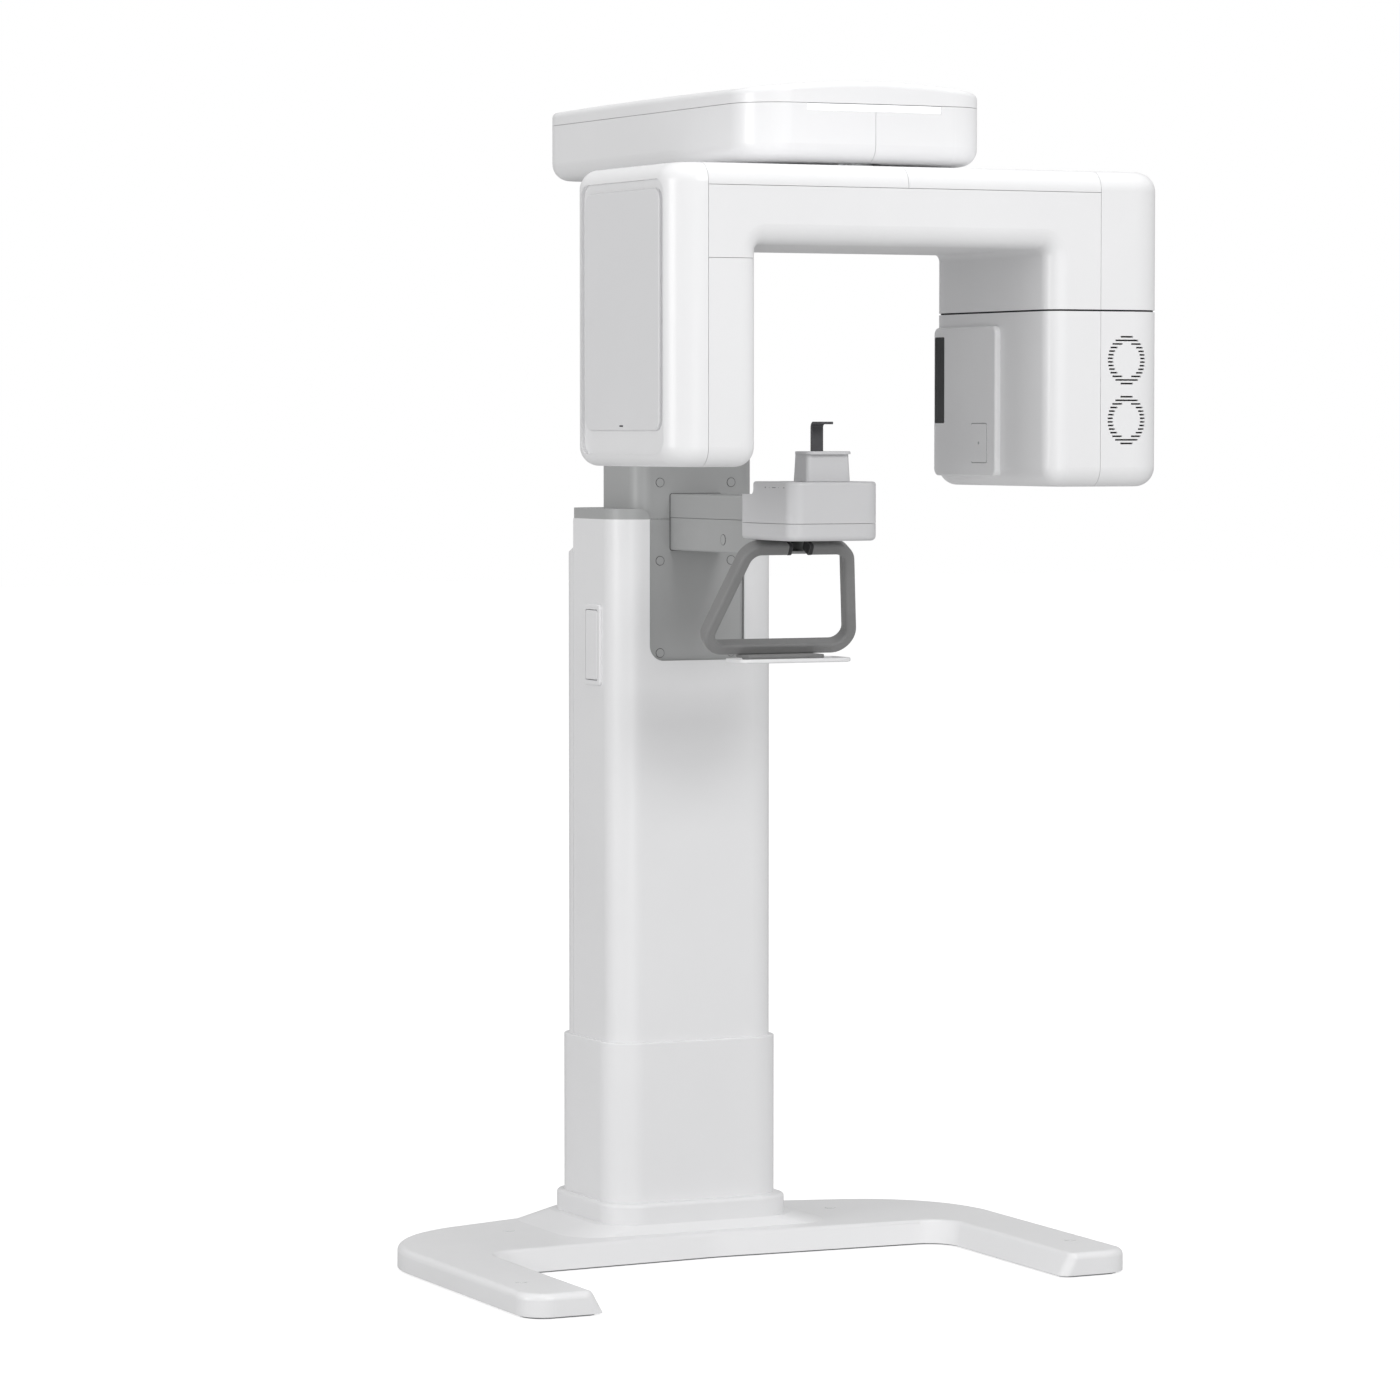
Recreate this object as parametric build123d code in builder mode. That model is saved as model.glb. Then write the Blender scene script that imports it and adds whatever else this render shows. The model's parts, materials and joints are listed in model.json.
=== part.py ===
from build123d import *
from math import asin, degrees
import os

# Panoramic dental x-ray machine, millimetres, +Z up.
# Origin: on the floor under the centre of the column. -Y is the patient's side, +X the tube head's side.

# ---- driving dimensions -------------------------------------------------------------------------
GAP = 0.6              # open seam between neighbouring covers
SLIDE_GAP = 0.3        # clearance all round a sliding guide
RUN_GAP = 0.05         # radial clearance of a running fit
SKIN = 3.5             # wall of a moulded cover

# base
BASE_HALF = 461        # half width over the two arms
BASE_FRONT = -541      # tips of the arms
BASE_BACK = 127
ARM_W = 114            # width of one base arm at the floor
INNER_SLOPE = 17       # how far the cover's inner flanks lean back over their height
CROSS_FRONT = -173     # front edge of the crossbar at the middle
CROSS_SLOPE = 19       # how much further forward that edge lies at the arms
BASE_H = 34
BASE_FOOT_GAP = 3      # shadow gap under the cover's rim
BASE_SKIN = 4
BASE_EDGE_R = 9
PLATE_T = 10           # steel base plate
PLATE_INSET = 8
PLATEAU_Z = 47
RISE_W, RISE_D, RISE_R = 430, 250, 60    # foot of the rise under the collar
ANCHOR_FRONT = (BASE_HALF - 39, BASE_FRONT + 110)
ANCHOR_REAR = (257, -10)
ANCHOR_R = 6
CAP_R = 8

# column: the lower shell, the collar and the opening in the base follow the upper shell
UPPER_W, UPPER_D, UPPER_R = 257, 193, 40
LOWER_STEP = 7.5       # the lower shell stands this far outside the upper one
LOWER_W, LOWER_D, LOWER_R = UPPER_W + 2 * LOWER_STEP, UPPER_D + 2 * LOWER_STEP, UPPER_R + 8
LOWER_TOP = 304
COLLAR_HALF_W, COLLAR_FRONT, COLLAR_BACK = LOWER_W / 2 + 8, -LOWER_D / 2 - 20, LOWER_D / 2 + 12
COLLAR_TOP = 76
COLLAR_LIP = 24        # width of the collar's top
SHELL_TOP = 1048       # underside of the grey top trim; all heights above it follow it
TRIM_T = 15
BACK_STEP = 18.8       # the back cover stands this far behind the shell's upper back
BACK_COVER_TOP = SHELL_TOP - 34
BACK_SPLIT = 50        # Y of the seam between shell and back cover
COL_SKIN = 4
FOOT_T = 12            # mast foot plate
FOOT_X, FOOT_Y = (-115, 115), (-84, 82)
MAST_HALF, MAST_D, MAST_WALL, MAST_TOP = 68, 21, 3, SHELL_TOP - 12
RAIL_W, RAIL_D = 12, 10
RAIL_X = MAST_HALF - 17

# carriage, the lifting inner column
CARR_HALF, CARR_FRONT, CARR_BACK, CARR_R = 95, -90, 36, 24
CARR_SKIN = 3
CARR_WALL = 4
CARR_BOTTOM = 130
CARR_SEAM = SHELL_TOP
NOTCH_HALF, NOTCH_Z, NOTCH_R, NOTCH_LIP_R = CARR_HALF - 20, SHELL_TOP - 201, 22, 15
ROD_R, TUBE_R = 12, 22
ACT_Y = -28            # lift actuator's axis
TUBE_TOP = SHELL_TOP - 178
ROD_BRACKET_Z = TUBE_TOP + 32

# head
HEAD_HALF, HEAD_FRONT, HEAD_BACK = 181, -644, 42
HEAD_BOW = 10
HEAD_Z = SHELL_TOP + 480
HEAD_SEAM = HEAD_Z + 77
HEAD_TOP = HEAD_SEAM + 33
HEAD_RISE, HEAD_FALL = 13, 2.5       # crown across and along
HEAD_R_FRONT, HEAD_R_BACK, HEAD_EDGE_R = 65, 50, 24
HEAD_SKIN, HEAD_LIP_R = 4, 8
LIGHT_HALF, LIGHT_H = 100, 10
HEAD_PLATE_T = 10

# rotating arm
AXIS_Y = HEAD_FRONT + 71
ARM_X0, ARM_X1 = -340, 394
ARM_Y0, ARM_Y1 = AXIS_Y - 165, AXIS_Y + 168
ARM_TOP = HEAD_Z - 8
ARM_UNDER = ARM_TOP - 105
DET_X, DET_Z = -216, ARM_TOP - 393     # detector housing: inner face and underside
GEN_X, GEN_Z = 213, ARM_TOP - 421      # generator housing: inner face and underside
ARM_CORNER_R, ARM_TOP_R, ARM_SOFT_R = 50, 26, 26
ARCH_R = 9                             # inner corners of the arch
ARM_SEAM_L, ARM_SEAM_R, ARM_SEAM_TOP = ARM_X0 + 49, ARM_X1 - 104, ARM_TOP - 29
DET_SEAM_Z = ARM_UNDER - 18
GEN_SEAM_Z, GEN_SEAM_GAP = ARM_TOP - 186, 2.4
ORBIT = 15             # orbit stage travel each way
HUB_R = 29
PULLEY_BIG, PULLEY_SMALL, BELT_T = 40, 10, 3
PULLEY_DIST = 103

# chinrest
CARM_HALF, CARM_FRONT = 40, -365
CARM_Z0, CARM_SEAM, CARM_Z1 = SHELL_TOP - 44, SHELL_TOP + 2, SHELL_TOP + 36
CARM_EDGE_R = 3
BOX_HALF, BOX_FRONT, BOX_R = 68, -530, 20
BOX_Z0 = CARM_Z0 + 21
BOX_SEAM, BOX_STEP_Z, BOX_Z1, BOX_STEP_Y = BOX_Z0 + 23, BOX_Z0 + 62, BOX_Z0 + 80, BOX_FRONT + 115
HANDLE_W, HANDLE_T, HANDLE_R = 21, 16, 4
HANDLE_TOP_Y, HANDLE_LOW_Y, HANDLE_DROP = BOX_FRONT + 115, BOX_FRONT + 185, 138
HANDLE_TOP_X, HANDLE_LOW_X, HANDLE_GAP = 75, 115, 26
HANDLE_BEND = 24
SUPPORT_Y, SUPPORT_TOP = BOX_FRONT + 43, BOX_Z1 + 41
SUPPORT_FOOT, SUPPORT_NECK, SUPPORT_PLATE = (67, 45), (64, 41), (68, 50)
SUPPORT_R, SUPPORT_PLATE_T = 6, 4

os.makedirs("parts", exist_ok=True)


def save(piece, label):
    """Label a finished piece and write it as its own STEP file."""
    piece.label = label
    export_step(piece, f"parts/{label}.step")


def slab(x, y, z, r=0.0):
    """A block between two limits on each axis, with its vertical corners rounded by r."""
    with BuildPart() as block:
        with BuildSketch(Plane.XY.offset(z[0])):
            with Locations(((x[0] + x[1]) / 2, (y[0] + y[1]) / 2)):
                if r:
                    RectangleRounded(x[1] - x[0], y[1] - y[0], r)
                else:
                    Rectangle(x[1] - x[0], y[1] - y[0])
        extrude(amount=z[1] - z[0])
    return block.part


def side_slab(x, y, z, r):
    """A block whose corners, seen along X, are rounded by r."""
    with BuildPart() as block:
        with BuildSketch(Plane.YZ.offset(x[0])):
            with Locations(((y[0] + y[1]) / 2, (z[0] + z[1]) / 2)):
                RectangleRounded(y[1] - y[0], z[1] - z[0], r)
        extrude(amount=x[1] - x[0])
    return block.part


def post(x, y, z, r):
    """An upright cylinder between two heights."""
    with BuildPart() as rod:
        with BuildSketch(Plane.XY.offset(z[0])):
            with Locations((x, y)):
                Circle(r)
        extrude(amount=z[1] - z[0])
    return rod.part


def along_y(x, z, y, r):
    """A cylinder along Y between two limits."""
    with BuildPart() as rod:
        with BuildSketch(Plane.XZ.offset(-y[1])):
            with Locations((x, z)):
                Circle(r)
        extrude(amount=y[1] - y[0])
    return rod.part


def grown(limits, amount):
    """Limits moved apart by amount at both ends."""
    return limits[0] - amount, limits[1] + amount


BIG = 2000


def region(x=(-BIG, BIG), y=(-BIG, BIG), z=(-BIG, BIG)):
    """A block that keeps one side of a seam."""
    return slab(x, y, z)


# ---- base ---------------------------------------------------------------------------------------
def base_outline(inset, z=BASE_FOOT_GAP):
    """The U-shaped plan of the base at a height, drawn inset from its outer edge."""
    lean = INNER_SLOPE * (z - BASE_FOOT_GAP) / (BASE_H - BASE_FOOT_GAP)
    half = BASE_HALF - inset
    inner = BASE_HALF - ARM_W + inset + lean
    front = BASE_FRONT + inset
    cross = CROSS_FRONT + inset + lean
    back = BASE_BACK - inset
    right = [
        (inner, cross - CROSS_SLOPE),
        (inner, front),
        (half, front),
        (half, 23 - inset),
        (192, 104 - inset),
        (172, back),
    ]
    radii = [45, 14, 40 - inset, 205 - inset, 15 + inset, 18]
    left = [(-x, y) for x, y in reversed(right)]
    points = [(0, cross)] + right + left
    with BuildSketch() as plan:
        with BuildLine():
            FilletPolyline(*points, radius=[300] + radii + radii[::-1], close=True)
        make_face()
    return plan.sketch


def column_plan(width, depth, corner, wall, back=None):
    """A column section: a closed ring wall thick; back moves its rear face."""
    rear = depth / 2 if back is None else back
    length = rear + depth / 2
    with BuildSketch() as ring:
        with Locations((0, (rear - depth / 2) / 2)):
            RectangleRounded(width, length, corner)
            RectangleRounded(width - 2 * wall, length - 2 * wall, corner - wall, mode=Mode.SUBTRACT)
    return ring.sketch


anchors = [(side * x, y) for x, y in (ANCHOR_FRONT, ANCHOR_REAR) for side in (-1, 1)]
collar_x = (-COLLAR_HALF_W, COLLAR_HALF_W)
collar_y = (COLLAR_FRONT, COLLAR_BACK)


def base_cavity():
    """The hollow under the base cover."""
    with BuildPart() as cavity:
        for z in (BASE_FOOT_GAP, BASE_H - 2 * BASE_SKIN):
            with BuildSketch(Plane.XY.offset(z)):
                add(base_outline(BASE_SKIN, z))
        loft(ruled=True)
    return cavity.part


with BuildPart() as base_frame:
    add(base_outline(PLATE_INSET))
    extrude(amount=PLATE_T)
    with Locations(*[(x, y, PLATE_T) for x, y in anchors]):
        Hole(ANCHOR_R)
save(base_frame.part, "base_frame")

with BuildPart() as base_cover:
    for z in (BASE_FOOT_GAP, BASE_H):
        with BuildSketch(Plane.XY.offset(z)):
            add(base_outline(0, z))
    loft(ruled=True)
    fillet(base_cover.faces().sort_by(Axis.Z)[-1].edges(), BASE_EDGE_R)
    with BuildSketch(Plane.XY.offset(BASE_H - 2)):
        with Locations((0, -6)):
            RectangleRounded(RISE_W, RISE_D, RISE_R)
    with BuildSketch(Plane.XY.offset(PLATEAU_Z)):
        with Locations((0, (COLLAR_FRONT + COLLAR_BACK) / 2)):
            RectangleRounded(2 * COLLAR_HALF_W + 26, COLLAR_BACK - COLLAR_FRONT, 56)
    loft()
    add(base_cavity(), mode=Mode.SUBTRACT)
    add(slab(grown(collar_x, 5 - COLLAR_LIP), grown(collar_y, 4 - COLLAR_LIP), (0, PLATEAU_Z + 1), 30),
        mode=Mode.SUBTRACT)
    with Locations(*[(x, y, BASE_H) for x, y in anchors]):
        Hole(CAP_R)
save(base_cover.part, "base_cover")

with BuildPart() as base_caps:
    for x, y in anchors:
        add(post(x, y, (BASE_H - 2 * BASE_SKIN, BASE_H + 0.6), CAP_R - RUN_GAP))
save(base_caps.part, "base_caps")

with BuildPart() as column_collar:
    add(slab(collar_x, collar_y, (PLATEAU_Z, COLLAR_TOP), LOWER_R + 4))
    fillet(column_collar.faces().sort_by(Axis.Z)[-1].edges(), 5)
    add(slab(grown(collar_x, -COLLAR_LIP), grown(collar_y, -COLLAR_LIP - 8), (PLATEAU_Z, COLLAR_TOP), 30),
        mode=Mode.SUBTRACT)
save(column_collar.part, "column_collar")

# ---- column covers ------------------------------------------------------------------------------
inlet_z = (120, 168)                     # mains inlet module on the back of the lower shell
inlet_x = (-34, 34)

with BuildPart() as lower_column_shell:
    with BuildSketch(Plane.XY.offset(COLLAR_TOP)):
        add(column_plan(LOWER_W, LOWER_D, LOWER_R, COL_SKIN))
    extrude(amount=LOWER_TOP - COLLAR_TOP)
    fillet(lower_column_shell.faces().sort_by(Axis.Z)[-1].outer_wire().edges(), 2)
    with BuildSketch(Plane.XY.offset(LOWER_TOP - COL_SKIN)):
        RectangleRounded(LOWER_W - 2 * COL_SKIN, LOWER_D - 2 * COL_SKIN, LOWER_R - COL_SKIN)
        RectangleRounded(UPPER_W - 2 * COL_SKIN, UPPER_D - 2 * COL_SKIN, UPPER_R - COL_SKIN,
                         mode=Mode.SUBTRACT)
    extrude(amount=COL_SKIN)
    inlet_hole = slab((inlet_x[0] + 4, inlet_x[1] - 4), (LOWER_D / 2 - 10, LOWER_D / 2 + 10),
                      (inlet_z[0] + 4, inlet_z[1] - 4))
    add(inlet_hole, mode=Mode.SUBTRACT)
save(lower_column_shell.part, "lower_column_shell")


def notch_cut():
    """The front notch that the chinrest arm travels in, open at the top with rounded lips."""
    top = SHELL_TOP + TRIM_T
    with BuildPart() as cut:
        with BuildSketch(Plane.XZ.offset(UPPER_D / 2 - 20)):
            with BuildLine():
                FilletPolyline((-NOTCH_HALF, top + 40), (-NOTCH_HALF, NOTCH_Z), (NOTCH_HALF, NOTCH_Z),
                               (NOTCH_HALF, top + 40), radius=NOTCH_R)
                Line((-NOTCH_HALF, top + 40), (NOTCH_HALF, top + 40))
            make_face()
            for side in (-1, 1):
                with Locations((side * (NOTCH_HALF + NOTCH_LIP_R / 2), top - NOTCH_LIP_R / 2)):
                    Rectangle(NOTCH_LIP_R, NOTCH_LIP_R)
            for side in (-1, 1):
                with Locations((side * (NOTCH_HALF + NOTCH_LIP_R), top - NOTCH_LIP_R)):
                    Circle(NOTCH_LIP_R, mode=Mode.SUBTRACT)
        extrude(amount=60)
    return cut.part


upper_back = UPPER_D / 2 - BACK_STEP
notch = notch_cut()

SWITCH_Y, SWITCH_Z = (-50, 5), (SHELL_TOP - 237, SHELL_TOP - 122)     # bezel of a lift switch
ROCKER_INSET, ROCKER_GAP, SLEEVE = 8, 1.0, 2.0
rocker_y = (SWITCH_Y[0] + ROCKER_INSET, SWITCH_Y[1] - ROCKER_INSET)
rocker_z = (SWITCH_Z[0] + ROCKER_INSET, SWITCH_Z[1] - ROCKER_INSET)


def on_side(side, near, far):
    """X limits at a distance from the middle, on the left (-1) or the right (1)."""
    return tuple(sorted((side * near, side * far)))


sleeve_y = grown(rocker_y, ROCKER_GAP + SLEEVE)
sleeve_z = grown(rocker_z, ROCKER_GAP + SLEEVE)
side_x = UPPER_W / 2

with BuildPart() as upper_column_shell:
    with BuildSketch(Plane.XY.offset(LOWER_TOP)):
        add(column_plan(UPPER_W, UPPER_D, UPPER_R, COL_SKIN))
    extrude(amount=SHELL_TOP - LOWER_TOP)
    add(region(y=(-BIG, BACK_SPLIT - GAP)), mode=Mode.INTERSECT)
    with BuildSketch(Plane.XY.offset(BACK_COVER_TOP - 30)):
        add(column_plan(UPPER_W, UPPER_D, UPPER_R, COL_SKIN, back=upper_back))
    extrude(amount=SHELL_TOP - BACK_COVER_TOP + 30)
    add(notch, mode=Mode.SUBTRACT)
    for side in (-1, 1):
        hole = side_slab(on_side(side, side_x - 10, side_x + 10), grown(sleeve_y, SLIDE_GAP),
                         grown(sleeve_z, SLIDE_GAP), 4)
        add(hole, mode=Mode.SUBTRACT)
save(upper_column_shell.part, "upper_column_shell")

with BuildPart() as column_back_cover:
    with BuildSketch(Plane.XY.offset(LOWER_TOP)):
        RectangleRounded(UPPER_W, UPPER_D, UPPER_R)
    extrude(amount=BACK_COVER_TOP - LOWER_TOP)
    back_edge = column_back_cover.faces().sort_by(Axis.Z)[-1].edges().sort_by(Axis.Y)[-1]
    chamfer(back_edge, 15, 15)
    with BuildSketch(Plane.XY.offset(LOWER_TOP)):
        RectangleRounded(UPPER_W - 2 * COL_SKIN, UPPER_D - 2 * COL_SKIN, UPPER_R - COL_SKIN)
    extrude(amount=BACK_COVER_TOP - LOWER_TOP - 22, mode=Mode.SUBTRACT)
    with BuildSketch(Plane.XY.offset(BACK_COVER_TOP - 32)):
        with Locations((0, (upper_back - UPPER_D / 2) / 2)):
            RectangleRounded(UPPER_W + GAP, upper_back + UPPER_D / 2 + GAP, UPPER_R)
    extrude(amount=60, mode=Mode.SUBTRACT)
    add(region(y=(BACK_SPLIT, BIG)), mode=Mode.INTERSECT)
save(column_back_cover.part, "column_back_cover")

with BuildPart() as column_top_trim:
    with BuildSketch(Plane.XY.offset(SHELL_TOP)):
        with Locations((0, (upper_back - UPPER_D / 2) / 2)):
            RectangleRounded(UPPER_W, upper_back + UPPER_D / 2, UPPER_R)
    extrude(amount=TRIM_T)
    opening = ((-CARR_HALF - 2.5, CARR_HALF + 2.5), (CARR_FRONT - 2.5, CARR_BACK + 2.5))
    add(slab(*opening, (SHELL_TOP, SHELL_TOP + TRIM_T), CARR_R), mode=Mode.SUBTRACT)
    add(notch, mode=Mode.SUBTRACT)
save(column_top_trim.part, "column_top_trim")

# ---- lift switches ------------------------------------------------------------------------------
TRUNNION_R = 2
trunnion_x = side_x - 3.5
rocker_mid = (sum(rocker_y) / 2, sum(rocker_z) / 2)


def trunnion(side, radius, trim):
    """The rocker's pivot, along Y across the sleeve, trimmed at both ends."""
    with BuildPart() as rod:
        with BuildSketch(Plane.XZ.offset(-sleeve_y[1] + trim)):
            with Locations((side * trunnion_x, rocker_mid[1])):
                Circle(radius)
        extrude(amount=sleeve_y[1] - sleeve_y[0] - 2 * trim)
    return rod.part


def switch_bezel(side):
    """The raised frame on the column's side with the sleeve that carries the rocker."""
    with BuildPart() as frame:
        add(side_slab(on_side(side, side_x, side_x + 4), SWITCH_Y, SWITCH_Z, 6))
        fillet(frame.faces().sort_by(Axis.X)[-1 if side > 0 else 0].edges(), 1.5)
        add(side_slab(on_side(side, side_x - 7, side_x), sleeve_y, sleeve_z, 4))
        add(side_slab(on_side(side, side_x - 10, side_x + 10), grown(rocker_y, ROCKER_GAP),
                      grown(rocker_z, ROCKER_GAP), 3), mode=Mode.SUBTRACT)
        add(trunnion(side, TRUNNION_R + RUN_GAP, 0), mode=Mode.SUBTRACT)
    return frame.part


with BuildPart() as lift_switch_bezels:
    for side in (-1, 1):
        add(switch_bezel(side))
save(lift_switch_bezels.part, "lift_switch_bezels")

for side, name in ((-1, "left"), (1, "right")):
    with BuildPart() as rocker:
        add(side_slab(on_side(side, side_x - 3, side_x + 4.5), rocker_y, rocker_z, 4))
        fillet(rocker.faces().sort_by(Axis.X)[-1 if side > 0 else 0].edges(), 1.5)
        add(trunnion(side, TRUNNION_R, 0.4))
    save(rocker.part, f"lift_rocker_{name}")

# ---- mast, rails and lift drive -----------------------------------------------------------------
mast_back = upper_back - COL_SKIN - 0.7
mast_front = mast_back - MAST_D
foot_top = PLATE_T + FOOT_T

with BuildPart() as mast:
    add(slab(FOOT_X, FOOT_Y, (PLATE_T, foot_top), 12))
    add(slab((-MAST_HALF, MAST_HALF), (mast_front, mast_back), (foot_top, MAST_TOP), 3))
    add(slab(grown((-MAST_HALF, MAST_HALF), -MAST_WALL), grown((mast_front, mast_back), -MAST_WALL),
             (foot_top, MAST_TOP)), mode=Mode.SUBTRACT)
    for side in (-1, 1):
        add(slab((side * RAIL_X - RAIL_W / 2, side * RAIL_X + RAIL_W / 2),
                 (mast_front - RAIL_D, mast_front), (110, MAST_TOP)))
save(mast.part, "mast")

GEARBOX_TOP = 60
with BuildPart() as lift_actuator:
    add(slab((-45, 95), (ACT_Y - 32, ACT_Y + 32), (foot_top, GEARBOX_TOP), 8))
    add(post(64, ACT_Y, (GEARBOX_TOP, CARR_BOTTOM - 6), 24))
    fillet(lift_actuator.faces().sort_by(Axis.Z)[-1].edges(), 4)
    add(post(0, ACT_Y, (GEARBOX_TOP, TUBE_TOP), TUBE_R))
    add(post(0, ACT_Y, (GEARBOX_TOP + 20, TUBE_TOP), ROD_R + RUN_GAP), mode=Mode.SUBTRACT)
save(lift_actuator.part, "lift_actuator")

with BuildPart() as power_supply:
    add(slab((-112, -54), (-70, 28), (foot_top, CARR_BOTTOM - 8), 3))
save(power_supply.part, "power_supply")

back_y = LOWER_D / 2
with BuildPart() as mains_inlet:
    add(slab(inlet_x, (back_y, back_y + 3), inlet_z))
    fillet(mains_inlet.edges().filter_by(Axis.Y), 3)
    add(slab((inlet_x[0] + 5, inlet_x[1] - 5), (back_y - 26, back_y), (inlet_z[0] + 5, inlet_z[1] - 5)))
    add(slab((-14, 14), (back_y - 18, back_y + 5), (134, 154)), mode=Mode.SUBTRACT)
    for x, z in ((0, 149), (-7, 140), (7, 140)):
        add(slab((x - 1, x + 1), (back_y - 19, back_y - 4), (z - 2.5, z + 2.5)))
save(mains_inlet.part, "mains_inlet")

# ---- carriage -----------------------------------------------------------------------------------
plate_z = HEAD_SEAM - 7                  # underside of the head's load plate
tube_half = CARR_HALF - CARR_SKIN - SLIDE_GAP
tube_y = (CARR_FRONT + CARR_SKIN + SLIDE_GAP, CARR_BACK - CARR_SKIN - SLIDE_GAP)
tube_r = CARR_R - CARR_SKIN
COVER_SPLIT = -20                        # behind this Y the lower cover starts higher up,
BACK_COVER_FOOT = 375                    # at this height, and leaves the guide blocks bare
BLOCK_H, BLOCK_LOW, BLOCK_HIGH = 60, 140, 280           # guide blocks: height and undersides
beam_half, beam_z = 28, (CARM_Z0 + 26, CARM_Z0 + 62)     # chinrest beam's section

with BuildPart() as carriage_tube:
    add(slab((-tube_half, tube_half), tube_y, (CARR_BOTTOM, plate_z), tube_r))
    add(slab(grown((-tube_half, tube_half), -CARR_WALL), grown(tube_y, -CARR_WALL),
             (CARR_BOTTOM, plate_z), tube_r - CARR_WALL), mode=Mode.SUBTRACT)
save(carriage_tube.part, "carriage_tube")


def carriage_ring(z):
    """A closed band of the carriage's cover between two heights."""
    half = (-CARR_HALF, CARR_HALF)
    inner_y = (CARR_FRONT + CARR_SKIN, CARR_BACK - CARR_SKIN)
    outer = slab(half, (CARR_FRONT, CARR_BACK), z, CARR_R)
    return outer - slab(grown(half, -CARR_SKIN), inner_y, z, CARR_R - CARR_SKIN)


beam_hole = slab((-beam_half - 0.5, beam_half + 0.5), (CARR_FRONT - 5, CARR_FRONT + 5), grown(beam_z, 0.5))

with BuildPart() as carriage_cover_lower:
    add(carriage_ring((CARR_BOTTOM + 4, CARR_SEAM)))
    add(region(y=(COVER_SPLIT, BIG), z=(-BIG, BACK_COVER_FOOT)), mode=Mode.SUBTRACT)
    add(beam_hole, mode=Mode.SUBTRACT)
save(carriage_cover_lower.part, "carriage_cover_lower")

with BuildPart() as carriage_cover_upper:
    add(carriage_ring((CARR_SEAM + GAP, HEAD_Z)))
    add(beam_hole, mode=Mode.SUBTRACT)
save(carriage_cover_upper.part, "carriage_cover_upper")

block_y = (tube_y[1], mast_front - 2)
with BuildPart() as guide_blocks:
    for side in (-1, 1):
        for z in (BLOCK_LOW, BLOCK_HIGH):
            x = side * RAIL_X
            add(slab((x - 17, x + 17), block_y, (z, z + BLOCK_H)))
            groove = slab(grown((x - RAIL_W / 2, x + RAIL_W / 2), SLIDE_GAP),
                          (mast_front - RAIL_D - SLIDE_GAP, mast_front), (z, z + BLOCK_H))
            add(groove, mode=Mode.SUBTRACT)
save(guide_blocks.part, "guide_blocks")

with BuildPart() as lift_rod:
    add(slab(grown((-tube_half, tube_half), -CARR_WALL), grown(tube_y, -CARR_WALL),
             (ROD_BRACKET_Z, ROD_BRACKET_Z + 10), tube_r - CARR_WALL))
    add(post(0, ACT_Y, (GEARBOX_TOP + 24, ROD_BRACKET_Z), ROD_R))
save(lift_rod.part, "lift_rod")

# ---- chinrest -----------------------------------------------------------------------------------
box_y = (BOX_FRONT, CARM_FRONT)
with BuildPart() as chinrest_beam:
    add(slab((-beam_half, beam_half), (BOX_FRONT + 60, tube_y[0]), beam_z, 3))
    add(slab((-beam_half + 4, beam_half - 4), (BOX_FRONT + 60, tube_y[0]),
             grown(beam_z, -4)), mode=Mode.SUBTRACT)
save(chinrest_beam.part, "chinrest_beam")


def arm_cover(z, open_up):
    """One half of the cover over the chinrest beam: a trough that opens up or down."""
    half = (-CARM_HALF, CARM_HALF)
    length = (CARM_FRONT, CARR_FRONT)
    with BuildPart() as cover:
        add(slab(half, length, z))
        edge = cover.faces().sort_by(Axis.Z)[0 if open_up else -1].edges().filter_by(Axis.Y)
        fillet(edge, CARM_EDGE_R)
        hollow = (z[0] + SKIN, z[1]) if open_up else (z[0], z[1] - SKIN)
        add(slab(grown(half, -SKIN), length, hollow), mode=Mode.SUBTRACT)
    return cover.part


with BuildPart() as arm_cover_lower:
    add(arm_cover((CARM_Z0, CARM_SEAM), True))
save(arm_cover_lower.part, "arm_cover_lower")

with BuildPart() as arm_cover_upper:
    add(arm_cover((CARM_SEAM + GAP, CARM_Z1), False))
save(arm_cover_upper.part, "arm_cover_upper")

cap_x = CARR_HALF - 39
cap_spots = [(x, SHELL_TOP + z) for x in (-cap_x, cap_x) for z in (52, -59, -190)]
SCREW_CAP_R, ARM_CAP_R, CAP_PROUD = 6, 7, 0.5
with BuildPart() as carriage_screw_caps:
    for x, z in cap_spots:
        with BuildSketch(Plane.XZ.offset(-CARR_FRONT)):
            with Locations((x, z)):
                Circle(SCREW_CAP_R)
        extrude(amount=CAP_PROUD)
    for side in (-1, 1):
        with BuildSketch(Plane.YZ.offset(side * CARM_HALF)):
            with Locations((CARM_FRONT + 102, CARM_Z0 + 18)):
                Circle(ARM_CAP_R)
        extrude(amount=side * CAP_PROUD)
save(carriage_screw_caps.part, "carriage_screw_caps")

SOCKET_R, PEG_R = 12, 8
with BuildPart() as chinrest_lower_housing:
    add(slab((-BOX_HALF, BOX_HALF), box_y, (BOX_Z0, BOX_SEAM), BOX_R))
    fillet(chinrest_lower_housing.faces().sort_by(Axis.Z)[0].edges(), 7)
    add(slab((-BOX_HALF + SKIN, BOX_HALF - SKIN), grown(box_y, -SKIN), (BOX_Z0 + SKIN, BOX_SEAM),
             BOX_R - SKIN), mode=Mode.SUBTRACT)
    add(slab((-beam_half - 1, beam_half + 1), (CARM_FRONT - 10, CARM_FRONT + 10), grown(beam_z, 1)),
        mode=Mode.SUBTRACT)
    add(slab((-beam_half - 1, beam_half + 1), (BOX_FRONT + 58, CARM_FRONT + 10), (beam_z[0] - 1, BOX_SEAM)),
        mode=Mode.SUBTRACT)
save(chinrest_lower_housing.part, "chinrest_lower_housing")

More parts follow.
